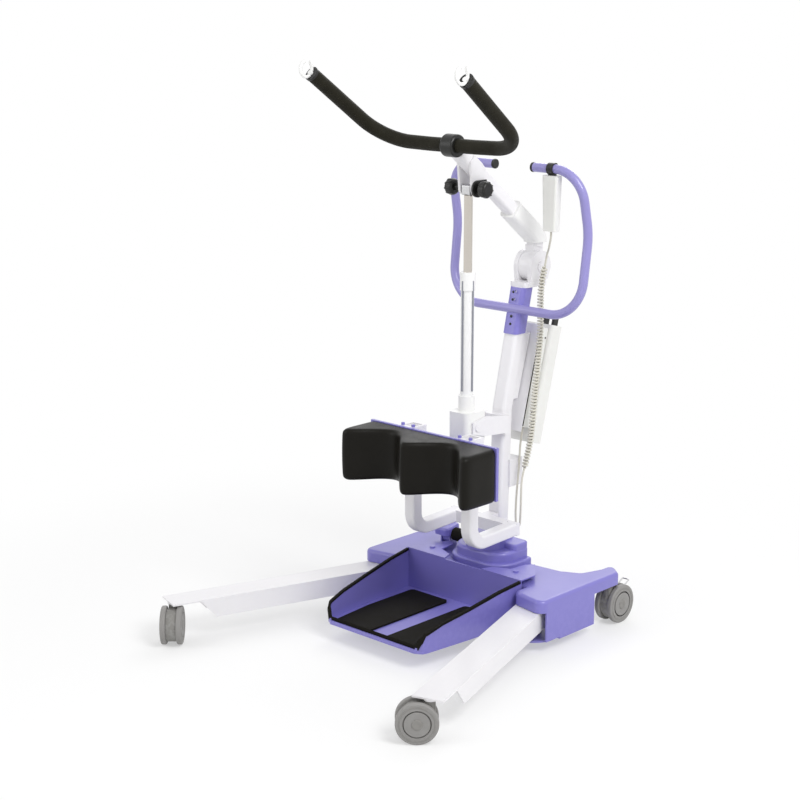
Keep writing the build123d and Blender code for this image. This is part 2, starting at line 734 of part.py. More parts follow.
def handle_collar():
    """Black clamp that holds the handle's cross tube."""
    collar = cross_rod(-COLLAR_W / 2, COLLAR_W / 2, HEAD_Y, HEAD_Z, COLLAR_R)
    collar = fillet(collar.edges().filter_by(GeomType.CIRCLE), 6)
    return collar - cross_rod(-40, 40, HEAD_Y, HEAD_Z, HANDLE_R + RUN) - boom()


def handle_path():
    """Handle's centre line from tip to tip."""
    near = [HANDLE_TIP, HANDLE_CORNER, (70, HEAD_Y, HEAD_Z)]
    far = [(-x, y, z) for x, y, z in reversed(near)]
    return tube_path(near + far, [HANDLE_BEND_R, 200, 200, HANDLE_BEND_R])


def handle_solid():
    return swept(handle_path(), Circle(HANDLE_R))


def handle_tube():
    return handle_solid() - swept(handle_path(), Circle(HANDLE_R - 2.5))


def handle_foam():
    """Foam grip on the +X half of the handle."""
    foam = swept(handle_path(), Circle(FOAM_R)) - handle_solid()
    return foam & block(
        COLLAR_W / 2 + GAP, HANDLE_TIP[0] + 60, HANDLE_TIP[1] - 60, HEAD_Y + 60, HEAD_Z - 60,
        HANDLE_TIP[2] + 60,
    )


def tip_direction():
    step = [HANDLE_TIP[i] - HANDLE_CORNER[i] for i in range(3)]
    length = math.sqrt(sum(s * s for s in step))
    return [s / length for s in step]


def tip_cap():
    """Black end plug of the handle on the +X side."""
    way = tip_direction()
    return rod(HANDLE_TIP, way, FOAM_R + 1, 6)


def sling_hook():
    """White open ring past the handle's tip, on the +X side."""
    way = tip_direction()
    centre = [HANDLE_TIP[i] + way[i] * 24 for i in range(3)]
    ring = Pos(*centre) * Rot(0, 90, 0) * Torus(18, 4)
    mouth = Pos(centre[0], centre[1] + 4, centre[2] + 18) * Box(20, 16, 16)
    stem = rod([HANDLE_TIP[i] + way[i] * 6 for i in range(3)], way, 6, 6)
    return ring - mouth + stem - tip_cap()


def knob(inner):
    """Black hand knob with its short bolt, on the +X side of the clevis."""
    grip = cross_rod(inner, inner + 24, TOP_PIN_Y, TOP_PIN_Z, 19)
    grip = fillet(grip.edges().filter_by(GeomType.CIRCLE), 7)
    neck = cross_rod(EAR_X + 6, inner, TOP_PIN_Y, TOP_PIN_Z, 8)
    bolt = cross_rod(EAR_X - EAR_T, EAR_X + 6, TOP_PIN_Y, TOP_PIN_Z, 5)
    return grip + neck + bolt


def clevis_washers():
    """Black flange discs under the two knobs."""
    disc = cross_rod(EAR_X, EAR_X + 5.5, TOP_PIN_Y, TOP_PIN_Z, 20)
    tab = block(EAR_X, EAR_X + 5.5, TOP_PIN_Y, TOP_PIN_Y + 30, TOP_PIN_Z + 12, TOP_PIN_Z + 20)
    small = other_side(cross_rod(EAR_X, EAR_X + 5.5, TOP_PIN_Y, TOP_PIN_Z, 11))
    return disc + tab + small - cross_rod(-60, 60, TOP_PIN_Y, TOP_PIN_Z, 5 + RUN)


# ---------------------------------------------------------------- actuator

def actuator_bracket():
    """White fork from the mast that holds the actuator's foot."""
    low = LOW_PIN_Z
    front = LOW_PIN_Y - 16
    cheek = side(
        [(front, low - 14), (front, low + 14), (LOW_PIN_Y + 30, low + 22), (730, low + 10),
         (730, low - 34), (LOW_PIN_Y + 30, low - 26)],
        31.5, 36.5,
    )
    saddle = block(-36.5, 36.5, 712, 730, low - 34, low + 10)
    fork = both_sides(cheek) + saddle - mast_solid(0)
    return fork - cross_rod(-60, 60, LOW_PIN_Y, low, 6)


def actuator_pin():
    pin = cross_rod(-36.5, 36.5, LOW_PIN_Y, LOW_PIN_Z, 6)
    return pin + both_sides(cross_rod(36.5, 40, LOW_PIN_Y, LOW_PIN_Z, 9))


def motor_housing():
    """White gear and motor housing at the actuator's foot."""
    body = block(-31, 31, LOW_PIN_Y - 34, LOW_PIN_Y + 40, 462, 538)
    body = fillet(body.edges().filter_by(Axis.Z), 12)
    neck = column(0, LOW_PIN_Y, 538, OUTER_LOW, 20)
    body = body + neck
    return body - cross_rod(-60, 60, LOW_PIN_Y, LOW_PIN_Z, 6 + RUN)


def actuator_tube():
    """Outer tube with the wider seal head at its top."""
    tube = column(0, LOW_PIN_Y, OUTER_LOW, OUTER_TOP, OUTER_R)
    head = column(0, LOW_PIN_Y, OUTER_TOP, SEAL_TOP, SEAL_R)
    return tube + head - rod_bore()


def rod_bore():
    return column(0, LOW_PIN_Y, OUTER_LOW + 6, SEAL_TOP, ROD_R + RUN)


def actuator_rod():
    return column(0, LOW_PIN_Y, OUTER_LOW + 170, TOP_PIN_Z - 16, ROD_R)


def rod_end():
    """Block on the rod that sits between the boom's ears."""
    top = TOP_PIN_Z + 9
    body = block(-12, 12, LOW_PIN_Y - 10, LOW_PIN_Y + 13, TOP_PIN_Z - 16, top)
    return fillet(body.edges().filter_by(Axis.X), 4)


# ---------------------------------------------------------------- push loop

def loop_path():
    half = [(LOOP_END_X, LOOP_TOP[1], LOOP_TOP[2]), LOOP_TOP, LOOP_MID, LOOP_LOW]
    far = [(-x, y, z) for x, y, z in reversed(half)]
    return tube_path(half + far, [*LOOP_BENDS, *reversed(LOOP_BENDS)])


def push_loop_solid():
    return swept(loop_path(), Circle(LOOP_R))


def push_loop():
    return push_loop_solid() - swept(loop_path(), Circle(LOOP_R - 2))


def loop_caps():
    cap = cross_rod(LOOP_END_X - 7, LOOP_END_X, LOOP_TOP[1], LOOP_TOP[2], LOOP_R + 0.8)
    return both_sides(fillet(cap.edges().filter_by(GeomType.CIRCLE), 2))


# ---------------------------------------------------------------- knee support

def limb_path():
    top = PLATE_TOP - 6
    return tube_path(
        [(LIMB_X, LIMB_Y, top), (LIMB_X, LIMB_Y, LIMB_LOW - 6), (LIMB_X, LIMB_END_Y - 13, LIMB_LOW)],
        [42],
    )


def knee_limb(grow):
    return swept(limb_path(), square_tube_section(LIMB_W + 2 * grow, 5 + grow))


def limb_plug():
    """Rounded end of the limb's lower run."""
    half = LIMB_W / 2
    plug = block(
        LIMB_X - half, LIMB_X + half, LIMB_END_Y - 16, LIMB_END_Y, LIMB_LOW - half, LIMB_LOW + half
    )
    plug = fillet(plug.edges().group_by(Axis.Y)[-1], 7)
    return plug - knee_limb(0)


def knee_tubes():
    return both_sides(knee_limb(0) - knee_limb(-2.5) + limb_plug())


def knee_crossbar():
    """White cross member between the two knee tubes, with its tongue to the mast's foot."""
    front = MAST_FOOT_Y - MAST_Y / 2
    half = LIMB_W / 2 - 1
    bar = block(
        -LIMB_X, LIMB_X, LIMB_END_Y - 2 * half - 3, LIMB_END_Y - 3, LIMB_LOW - half, LIMB_LOW + half
    )
    tongue = block(-16, 16, LIMB_END_Y - 10, front, LIMB_LOW - half, LIMB_LOW + half)
    solid_limb = knee_limb(0) + limb_plug()
    return bar + tongue - both_sides(solid_limb) - mast_solid(0)


def knee_plate():
    return block(-PLATE_X, PLATE_X, PLATE_Y, PLATE_Y + PLATE_T, PLATE_LOW, PLATE_TOP)


def knee_clamps():
    """Sliding clamps between the plate and the knee tubes."""
    z0 = PLATE_TOP - CLAMP_H
    clamp = block(
        LIMB_X - 23, LIMB_X + 23, PLATE_Y + PLATE_T, LIMB_Y + LIMB_W / 2 + 6, z0, PLATE_TOP
    )
    bore = block(
        LIMB_X - LIMB_W / 2 - 0.1, LIMB_X + LIMB_W / 2 + 0.1,
        LIMB_Y - LIMB_W / 2 - 0.1, LIMB_Y + LIMB_W / 2 + 0.1, z0, PLATE_TOP,
    )
    return both_sides(clamp - bore)


def clamp_screws():
    screws = None
    for x in (LIMB_X - 17, LIMB_X + 17):
        head = column(x, PLATE_Y + PLATE_T + 8, PLATE_TOP, PLATE_TOP + 6, 4.5)
        screws = head if screws is None else screws + head
    return both_sides(screws)


def knee_pad():
    """Padded block with two hollows for the shins."""
    ridge, valley, outer = PAD_HOLLOW
    shoulder, flank = PAD_SIDE
    far = [(-x, y) for x, y in (ridge, valley, outer, shoulder, flank)]
    edges = [
        Line(far[0], ridge),
        ThreePointArc(ridge, valley, outer),
        Polyline(outer, shoulder, flank, (PLATE_X, PLATE_Y)),
        Line((PLATE_X, PLATE_Y), (-PLATE_X, PLATE_Y)),
        Polyline((-PLATE_X, PLATE_Y), far[4], far[3], far[2]),
        ThreePointArc(far[2], far[1], far[0]),
    ]
    face = make_face(edges)
    return Pos(0, 0, PLATE_LOW - 4) * extrude(face, amount=PLATE_TOP - PLATE_LOW + 2, dir=(0, 0, 1))


# ---------------------------------------------------------------- control box

def lean(shape):
    """Places a piece drawn upright from its foot along the box's lean."""
    return Pos(0, BOX_FOOT[0], BOX_FOOT[1]) * Rot(-BOX_LEAN, 0, 0) * shape


def lean_point(y, z):
    """Y and Z of a point given in the leaning box's own measure."""
    tilt = math.radians(BOX_LEAN)
    return (
        BOX_FOOT[0] + y * math.cos(tilt) + z * math.sin(tilt),
        BOX_FOOT[1] - y * math.sin(tilt) + z * math.cos(tilt),
    )


def control_box():
    body = block(-DOCK_X, DOCK_X, 0, DOCK_D, DOCK_LOW, BOX_LENGTH - 10)
    return lean(fillet(body.edges().filter_by(Axis.Z), 5))


def battery_pack():
    body = block(-BOX_X, BOX_X, DOCK_D + 0.3, DOCK_D + PACK_D, 0, BOX_LENGTH)
    return lean(fillet(body.edges().filter_by(Axis.Z), 8))


def battery_handle():
    """Black grip on top of the battery."""
    grip = block(4, 40, DOCK_D + 8, DOCK_D + 24, BOX_LENGTH, BOX_LENGTH + 30)
    finger = block(12, 32, DOCK_D + 8, DOCK_D + 24, BOX_LENGTH, BOX_LENGTH + 20)
    return lean(grip - finger)


def box_bracket():
    """White spacer plate between the mast and the control box."""
    plate = side([(740, 540), (790, 540), (835, 700), (790, 700)], -12, 12)
    return plate - mast_solid(0) - lean(block(-80, 80, 0, 120, -20, BOX_LENGTH + 40))


# ---------------------------------------------------------------- handset and cord

def handset_hook():
    """Black strap round the loop's tube that the handset hangs from."""
    y = LOOP_TOP[1]
    z = LOOP_TOP[2]
    ring = cross_rod(HANDSET_X - 9, HANDSET_X + 9, y, z, LOOP_R + 3)
    drop = block(HANDSET_X - 9, HANDSET_X + 9, y - 5, y + 5, HANDSET_TOP, z)
    return ring + drop - cross_rod(HANDSET_X - 20, HANDSET_X + 20, y, z, LOOP_R)


def handset():
    y = LOOP_TOP[1]
    body = loft([
        Plane(origin=(HANDSET_X, y, HANDSET_TOP)) * RectangleRounded(46, 24, 6),
        Plane(origin=(HANDSET_X, y, HANDSET_LOW)) * RectangleRounded(38, 22, 6),
    ])
    pocket = button_block(0.4, 1.6)
    return body - pocket


def button_block(grow, depth):
    """Two thumb buttons on the attendant's side of the handset."""
    y = LOOP_TOP[1]
    shape = None
    for z in BUTTON_Z:
        b = block(HANDSET_X - 9 - grow, HANDSET_X + 9 + grow, y + 10 - depth, y + 14,
                  z - 9 - grow, z + 9 + grow)
        shape = b if shape is None else shape + b
    return shape


def handset_button(z):
    y = LOOP_TOP[1]
    return block(HANDSET_X - 9, HANDSET_X + 9, y + 10, y + 13.5, z - 9, z + 9)


BOX_PLUG_X = 24.0
COIL_TOP = (60.0, 829.0, 876.0)
COIL_LOW = (60.0, 761.0, 368.0)


def cord_lead_points():
    return [
        (HANDSET_X, LOOP_TOP[1], HANDSET_LOW), (HANDSET_X, LOOP_TOP[1], 952), (106, 786, 932),
        (88, 806, 918), (70, 825, 909), (60, 834.1, 894), COIL_TOP,
    ]


def cord_coil_points():
    return [COIL_TOP, (60, 812, 816), (60, 817, 715), (60, 808, 641), (60, 797, 541), (60, 786, 440), COIL_LOW]


def cord_tail_points():
    return [
        COIL_LOW, (60, 752.25, 342.8), (61, 750, 300), (61, 749.5, 255), (59, 749.5, 222), (47, 749.5, 222),
        (44, 750, 255), (43, 754, 305), (40, 764, 355), (32, 777, 395),
        (BOX_PLUG_X, *lean_point(DOCK_D / 2, 1)),
        (BOX_PLUG_X, *lean_point(DOCK_D / 2, DOCK_LOW)),
    ]


def corner_radii(points):
    """Each bend as wide as its two runs allow."""
    radii = []
    for a, b, c in zip(points, points[1:], points[2:]):
        first = Vector(*b) - Vector(*a)
        second = Vector(*c) - Vector(*b)
        turn = math.radians(first.get_angle(second))
        run = min(first.length, second.length)
        radii.append(0.45 * run / math.tan(turn / 2))
    return radii


def cord_tube(points, radius, name):
    radii = corner_radii(points)
    path = tube_path(points, radii)
    tube = swept(path, Circle(radius))
    expected = math.pi * radius ** 2 * path.length
    print(name, "radii", [round(r, 1) for r in radii])
    print(name, "volume", round(tube.volume / expected, 5))
    return tube


# ---------------------------------------------------------------- all pieces

def build_nodes():
    nodes = {}
    nodes["base_cover"] = base_cover()
    nodes["base_frame"] = base_frame()
    nodes["pivot_pins"] = leg_pivot_pins() + boom_pin() + actuator_pin()
    near_leg = leg_at_rest()
    nodes["leg_right"] = near_leg
    nodes["leg_left"] = other_side(near_leg)
    nodes["spreader_bar"] = spreader_bar()
    nodes["pedal_bracket"] = pedal_bracket()
    nodes["leg_pedal"] = leg_pedal()
    nodes["pedal_pad"] = pedal_pad()
    add_castors(nodes)
    nodes["foot_tray"] = foot_tray()
    nodes["tray_trim"] = tray_trim()
    nodes["tray_fixings"] = tray_fixings()
    nodes["tread_mats"] = both_sides(tread_mat())
    nodes["turret"] = turret()
    nodes["mast"] = mast()
    nodes["mast_sleeve"] = mast_sleeve()
    nodes["mast_head"] = mast_head()
    nodes["mast_brackets"] = junction_block() + box_bracket()
    nodes["boom"] = boom()
    nodes["boom_cover"] = boom_cover()
    nodes["handle_collar"] = handle_collar()
    nodes["clevis_washers"] = clevis_washers()
    nodes["knob_right"] = knob(36)
    nodes["knob_left"] = other_side(knob(43))
    nodes["handle_tube"] = handle_tube()
    nodes["foam_grips"] = both_sides(handle_foam())
    nodes["handle_end_caps"] = both_sides(tip_cap())
    nodes["sling_hooks"] = both_sides(sling_hook())
    nodes["actuator_bracket"] = actuator_bracket()
    nodes["motor_housing"] = motor_housing()
    nodes["actuator_tube"] = actuator_tube()
    nodes["actuator_rod"] = actuator_rod()
    nodes["rod_end"] = rod_end()
    nodes["push_loop"] = push_loop()
    nodes["loop_caps"] = loop_caps()
    nodes["knee_frame"] = knee_tubes() + knee_crossbar()
    nodes["knee_plate"] = knee_plate()
    nodes["knee_clamps"] = knee_clamps()
    nodes["clamp_screws"] = clamp_screws()
    nodes["knee_pad"] = knee_pad()
    nodes["control_box"] = control_box()
    nodes["battery_pack"] = battery_pack()
    nodes["battery_handle"] = battery_handle()
    nodes["handset_hook"] = handset_hook()
    nodes["handset"] = handset()
    nodes["button_up"] = handset_button(BUTTON_Z[0])
    nodes["button_down"] = handset_button(BUTTON_Z[1])
    nodes["cord_lead"] = cord_tube(cord_lead_points(), CORD_R, "lead")
    nodes["cord_coil"] = cord_tube(cord_coil_points(), COIL_R, "coil")
    nodes["cord_tail"] = cord_tube(cord_tail_points(), CORD_R, "tail")
    return nodes


def add_castors(nodes):
    stem_x, stem_y = stem_place()
    front_top = LEG_TOP - LEG_T - 4 - GAP
    rear_top = FASCIA_BOTTOM - GAP
    front_hood = castor_hood(FRONT_WHEEL_R, FRONT_WHEEL_R, FRONT_TRAIL, front_top)
    front_hood = front_hood + column(0, 0, front_top - 1, LEG_TOP - 1.5, STEM_R)
    front_wheels = castor_wheels(FRONT_WHEEL_R, FRONT_WHEEL_R, FRONT_TRAIL)
    rear_hood = castor_hood(REAR_WHEEL_R, REAR_WHEEL_R, REAR_TRAIL, rear_top)
    rear_hood = rear_hood + column(0, 0, rear_top - 1, BASE_TOP - BASE_SKIN - 3.5, STEM_R)
    rear_hood = brake_lug(rear_hood)
    rear_wheels = castor_wheels(REAR_WHEEL_R, REAR_WHEEL_R, REAR_TRAIL)
    places = {
        "front_right": (stem_x, stem_y, CASTOR_TURN - 90, front_hood, front_wheels),
        "front_left": (-stem_x, stem_y, CASTOR_TURN, front_hood, front_wheels),
        "rear_right": (REAR_STEM_X, REAR_STEM_Y, 180, rear_hood, rear_wheels),
        "rear_left": (-REAR_STEM_X, REAR_STEM_Y, 180, rear_hood, rear_wheels),
    }
    for name, (x, y, turn, hood, wheels) in places.items():
        nodes["castor_hood_" + name] = place_castor(hood, x, y, turn)
        nodes["castor_wheels_" + name] = place_castor(wheels, x, y, turn)
        if name.startswith("rear"):
            nodes["brake_lever_" + name] = place_castor(brake_lever(), x, y, turn)


def main():
    nodes = build_nodes()
    boxes = [shape.bounding_box() for shape in nodes.values()]
    front = min(b.min.Y for b in boxes)
    rear = max(b.max.Y for b in boxes)
    low = min(b.min.Z for b in boxes)
    left = min(b.min.X for b in boxes)
    right = max(b.max.X for b in boxes)
    shift = Pos(-(left + right) / 2, -(front + rear) / 2, -low)
    print("shift", -(left + right) / 2, -(front + rear) / 2, -low, "nodes", len(nodes))
    os.makedirs("parts", exist_ok=True)
    for name, shape in nodes.items():
        export_step(shift * shape, os.path.join("parts", name + ".step"))


main()
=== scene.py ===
import json
import math

import bmesh
import bpy
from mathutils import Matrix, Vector


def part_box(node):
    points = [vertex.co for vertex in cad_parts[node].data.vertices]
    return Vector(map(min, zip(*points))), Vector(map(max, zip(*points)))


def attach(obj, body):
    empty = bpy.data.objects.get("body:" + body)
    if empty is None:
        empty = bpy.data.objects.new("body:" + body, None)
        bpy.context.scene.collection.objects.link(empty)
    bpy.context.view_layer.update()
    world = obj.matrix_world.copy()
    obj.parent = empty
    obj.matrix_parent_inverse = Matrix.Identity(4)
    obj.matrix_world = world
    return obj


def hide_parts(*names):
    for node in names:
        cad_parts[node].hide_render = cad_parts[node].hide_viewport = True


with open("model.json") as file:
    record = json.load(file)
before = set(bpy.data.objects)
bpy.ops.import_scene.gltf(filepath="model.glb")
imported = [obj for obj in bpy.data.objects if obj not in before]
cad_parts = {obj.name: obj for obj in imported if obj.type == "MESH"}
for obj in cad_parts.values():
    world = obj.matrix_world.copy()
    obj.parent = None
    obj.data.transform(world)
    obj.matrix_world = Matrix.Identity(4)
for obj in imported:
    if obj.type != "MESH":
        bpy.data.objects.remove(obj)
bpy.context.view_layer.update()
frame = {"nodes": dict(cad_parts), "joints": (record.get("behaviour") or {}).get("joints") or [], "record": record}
NODES = frame["nodes"]

# The part's lengths along Y are counted from the line of the front castors.
# Everything below is in metres, and this moves such a point into the frame.
HANDSET_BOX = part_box("handset")
LOOP_Y = 0.777
CASTOR_LINE = (HANDSET_BOX[0].y + HANDSET_BOX[1].y) / 2 - LOOP_Y


def place(x, y, z):
    """A point of the part's own measure, in the frame."""
    return Vector((x, y + CASTOR_LINE, z))


def centre(node):
    """Middle of a node's box."""
    low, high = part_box(node)
    return (low + high) / 2


# ------------------------------------------------------------------ camera

CAMERA_TURN = math.radians(43.484)
CAMERA_DIP = math.radians(13.441)
CAMERA_PLACE = (2.6579, -2.4273, 1.5274)
LENS = 76.83


def add_camera():
    """Camera at the height and turn from which the lift is seen."""
    data = bpy.data.cameras.new("studio_camera")
    data.lens = LENS
    data.sensor_width = 36
    data.clip_end = 60
    camera = bpy.data.objects.new("studio_camera", data)
    camera.location = place(*CAMERA_PLACE)
    camera.rotation_euler = (math.pi / 2 - CAMERA_DIP, 0, CAMERA_TURN)
    bpy.context.scene.collection.objects.link(camera)
    bpy.context.scene.camera = camera


# ------------------------------------------------------------------ shader groups

def socket_in(tree, kind, name, value):
    """Adds a named input, with its default where it has one."""
    item = tree.interface.new_socket(name=name, in_out="INPUT", socket_type=kind)
    if value is not None:
        item.default_value = value
    return item


def new_group(name, inputs, outputs):
    """Shader group with named sockets; returns the tree and its two end nodes."""
    tree = bpy.data.node_groups.new(name, "ShaderNodeTree")
    for kind, label, value in inputs:
        socket_in(tree, kind, label, value)
    for kind, label in outputs:
        tree.interface.new_socket(name=label, in_out="OUTPUT", socket_type=kind)
    return tree, tree.nodes.new("NodeGroupInput"), tree.nodes.new("NodeGroupOutput")


NOISE_ROUGHNESS = 0.55


def noise_node(tree, coords, scale_socket=None, scale=5.0, detail=3.0):
    """Noise on given coordinates, with its scale from a socket or a value."""
    node = tree.nodes.new("ShaderNodeTexNoise")
    tree.links.new(coords, node.inputs["Vector"])
    node.inputs["Scale"].default_value = scale
    node.inputs["Detail"].default_value = detail
    node.inputs["Roughness"].default_value = NOISE_ROUGHNESS
    if scale_socket is not None:
        tree.links.new(scale_socket, node.inputs["Scale"])
    return node


def spread_node(tree, value, low, high, to_low, to_high):
    """Maps one range of a value onto another."""
    node = tree.nodes.new("ShaderNodeMapRange")
    tree.links.new(value, node.inputs["Value"])
    node.inputs["From Min"].default_value = low
    node.inputs["From Max"].default_value = high
    node.inputs["To Min"].default_value = to_low
    node.inputs["To Max"].default_value = to_high
    return node


def mix_colours(tree, factor, first, second):
    """Mixes two colours, each a socket or a fixed colour."""
    node = tree.nodes.new("ShaderNodeMix")
    node.data_type = "RGBA"
    tree.links.new(factor, node.inputs[0])
    for value, socket in ((first, node.inputs[6]), (second, node.inputs[7])):
        if isinstance(value, bpy.types.NodeSocket):
            tree.links.new(value, socket)
        else:
            socket.default_value = value
    return node.outputs[2]


def build_uneven_group():
    """Slow drift of colour and gloss, as on any handled surface."""
    tree, start, end = new_group(
        "uneven_finish",
        [
            ("NodeSocketColor", "Colour", (0.5, 0.5, 0.5, 1)),
            ("NodeSocketColor", "Tint", (0.4, 0.4, 0.4, 1)),
            ("NodeSocketFloat", "Scale", 12.0),
            ("NodeSocketFloat", "Amount", 0.3),
            ("NodeSocketFloat", "Roughness", 0.4),
            ("NodeSocketFloat", "Roughness spread", 0.08),
        ],
        [("NodeSocketColor", "Colour"), ("NodeSocketFloat", "Roughness")],
    )
    coords = tree.nodes.new("ShaderNodeTexCoord").outputs["Object"]
    cloud = noise_node(tree, coords, start.outputs["Scale"], detail=4)
    mask = spread_node(tree, cloud.outputs["Fac"], 0.35, 0.7, 0.0, 1.0)
    amount = tree.nodes.new("ShaderNodeMath")
    amount.operation = "MULTIPLY"
    tree.links.new(mask.outputs["Result"], amount.inputs[0])
    tree.links.new(start.outputs["Amount"], amount.inputs[1])
    colour = mix_colours(tree, amount.outputs[0], start.outputs["Colour"], start.outputs["Tint"])
    tree.links.new(colour, end.inputs["Colour"])
    gloss = tree.nodes.new("ShaderNodeMath")
    gloss.operation = "MULTIPLY_ADD"
    tree.links.new(mask.outputs["Result"], gloss.inputs[0])
    tree.links.new(start.outputs["Roughness spread"], gloss.inputs[1])
    tree.links.new(start.outputs["Roughness"], gloss.inputs[2])
    tree.links.new(gloss.outputs[0], end.inputs["Roughness"])
    return tree


def build_grain_group():
    """Fine bumps: the orange peel of paint, moulded texture or foam cells."""
    tree, start, end = new_group(
        "surface_grain",
        [
            ("NodeSocketFloat", "Scale", 400.0),
            ("NodeSocketFloat", "Depth", 0.0002),
            ("NodeSocketFloat", "Wave scale", 60.0),
            ("NodeSocketFloat", "Wave share", 0.3),
        ],
        [("NodeSocketVector", "Normal")],
    )
    coords = tree.nodes.new("ShaderNodeTexCoord").outputs["Object"]
    fine = noise_node(tree, coords, start.outputs["Scale"], detail=2)
    slow = noise_node(tree, coords, start.outputs["Wave scale"], detail=1)
    blend = tree.nodes.new("ShaderNodeMix")
    tree.links.new(start.outputs["Wave share"], blend.inputs[0])
    tree.links.new(fine.outputs["Fac"], blend.inputs[2])
    tree.links.new(slow.outputs["Fac"], blend.inputs[3])
    bump = tree.nodes.new("ShaderNodeBump")
    bump.inputs["Strength"].default_value = 1.0
    tree.links.new(start.outputs["Depth"], bump.inputs["Distance"])
    tree.links.new(blend.outputs[0], bump.inputs["Height"])
    tree.links.new(bump.outputs["Normal"], end.inputs["Normal"])
    return tree


def build_wear_group():
    """Light rub along outer edges, broken up by noise."""
    tree, start, end = new_group(
        "edge_rub",
        [
            ("NodeSocketColor", "Colour", (0.5, 0.5, 0.5, 1)),
            ("NodeSocketColor", "Rubbed", (0.7, 0.7, 0.7, 1)),
            ("NodeSocketFloat", "Amount", 0.3),
        ],
        [("NodeSocketColor", "Colour")],
    )
    geometry = tree.nodes.new("ShaderNodeNewGeometry")
    coords = tree.nodes.new("ShaderNodeTexCoord").outputs["Object"]
    edge = spread_node(tree, geometry.outputs["Pointiness"], 0.52, 0.6, 0.0, 1.0)
    spots = noise_node(tree, coords, scale=90.0, detail=3)
    broken = spread_node(tree, spots.outputs["Fac"], 0.45, 0.6, 0.0, 1.0)
    both = tree.nodes.new("ShaderNodeMath")
    both.operation = "MULTIPLY"
    tree.links.new(edge.outputs["Result"], both.inputs[0])
    tree.links.new(broken.outputs["Result"], both.inputs[1])
    amount = tree.nodes.new("ShaderNodeMath")
    amount.operation = "MULTIPLY"
    tree.links.new(both.outputs[0], amount.inputs[0])
    tree.links.new(start.outputs["Amount"], amount.inputs[1])
    colour = mix_colours(tree, amount.outputs[0], start.outputs["Colour"], start.outputs["Rubbed"])
    tree.links.new(colour, end.inputs["Colour"])
    return tree


UNEVEN = build_uneven_group()
GRAIN = build_grain_group()
RUB = build_wear_group()


def use_group(tree, group, **values):
    """Places a shader group and sets its inputs by name."""
    node = tree.nodes.new("ShaderNodeGroup")
    node.node_tree = group
    for name, value in values.items():
        node.inputs[name.replace("_", " ")].default_value = value
    return node


def rgba(colour):
    """Colour with full opacity."""
    return (*colour, 1.0)


def finish_material(
    name, colour, tint, roughness, grain, *, spread=0.08, cloud=12.0, amount=0.3, metallic=0.0,
    coat=0.0, coat_rough=0.1, rub=0.0, rubbed=(0.8, 0.8, 0.8), sheen=0.0, specular=0.5,
):
    """Material with uneven colour and gloss, fine grain and a little edge wear."""
    material = bpy.data.materials.new(name)
    material.use_nodes = True
    tree = material.node_tree
    shader = tree.nodes["Principled BSDF"]
    uneven = use_group(
        tree, UNEVEN, Colour=rgba(colour), Tint=rgba(tint), Scale=cloud, Amount=amount,
        Roughness=roughness, Roughness_spread=spread,
    )
    edge = use_group(tree, RUB, Rubbed=rgba(rubbed), Amount=rub)
    bumps = use_group(
        tree, GRAIN, Scale=grain[0], Depth=grain[1], Wave_scale=grain[2], Wave_share=grain[3]
    )
    tree.links.new(uneven.outputs["Colour"], edge.inputs["Colour"])
    tree.links.new(edge.outputs["Colour"], shader.inputs["Base Color"])
    tree.links.new(uneven.outputs["Roughness"], shader.inputs["Roughness"])
    tree.links.new(bumps.outputs["Normal"], shader.inputs["Normal"])
    shader.inputs["Metallic"].default_value = metallic
    shader.inputs["Coat Weight"].default_value = coat
    shader.inputs["Coat Roughness"].default_value = coat_rough
    shader.inputs["Sheen Weight"].default_value = sheen
    shader.inputs["Specular IOR Level"].default_value = specular
    return material


def purple_paint():
    """Powder coat of the base, tray, mast foot, sleeve and knee plate."""
    return finish_material(
        "purple_powder_coat", (0.195, 0.175, 0.53), (0.183, 0.163, 0.51), 0.36,
        (900.0, 0.00008, 160.0, 0.15), coat=0.35, coat_rough=0.18, rub=0.08, rubbed=(0.36, 0.34, 0.74),
        amount=0.1,
    )


def loop_paint():
    """Paler coat of the attendant's push loop."""
    return finish_material(
        "lavender_tube_coat", (0.27, 0.245, 0.55), (0.25, 0.225, 0.53), 0.3,
        (900.0, 0.00007, 160.0, 0.15), coat=0.4, coat_rough=0.15, rub=0.08, rubbed=(0.45, 0.42, 0.8),
        amount=0.1,
    )


def white_paint():
    """Powder coat of the mast, boom, legs and knee frame."""
    return finish_material(
        "white_powder_coat", (0.80, 0.79, 0.81), (0.75, 0.74, 0.765), 0.38,
        (800.0, 0.00008, 140.0, 0.15), coat=0.25, coat_rough=0.2, rub=0.08, rubbed=(0.88, 0.88, 0.88),
        amount=0.1,
    )


def white_plastic():
    """White mouldings."""
    return finish_material(
        "white_moulding", (0.84, 0.84, 0.83), (0.79, 0.79, 0.78), 0.42, (1500.0, 0.00006, 200.0, 0.3),
        rub=0.1,
    )


def pale_plastic():
    """Greyer white mouldings."""
    return finish_material(
        "pale_moulding", (0.79, 0.79, 0.76), (0.74, 0.74, 0.71), 0.5, (1600.0, 0.00008, 220.0, 0.3),
        rub=0.15,
    )


def anodised_tube():
    """White lacquer of the actuator's outer tube."""
    return finish_material(
        "white_lacquered_tube", (0.83, 0.83, 0.83), (0.79, 0.79, 0.79), 0.3, (700.0, 0.00004, 90.0, 0.4),
        coat=0.2,
    )


def chrome_rod():
    """Polished actuator rod."""
    return finish_material(
        "polished_rod", (0.62, 0.58, 0.53), (0.55, 0.51, 0.46), 0.14, (300.0, 0.00001, 60.0, 0.3),
        spread=0.04, metallic=1.0,
    )


def bright_steel():
    """Plated steel fittings."""
    return finish_material(
        "plated_steel", (0.56, 0.56, 0.57), (0.46, 0.46, 0.47), 0.3, (900.0, 0.00005, 120.0, 0.3),
        metallic=1.0, rub=0.2,
    )


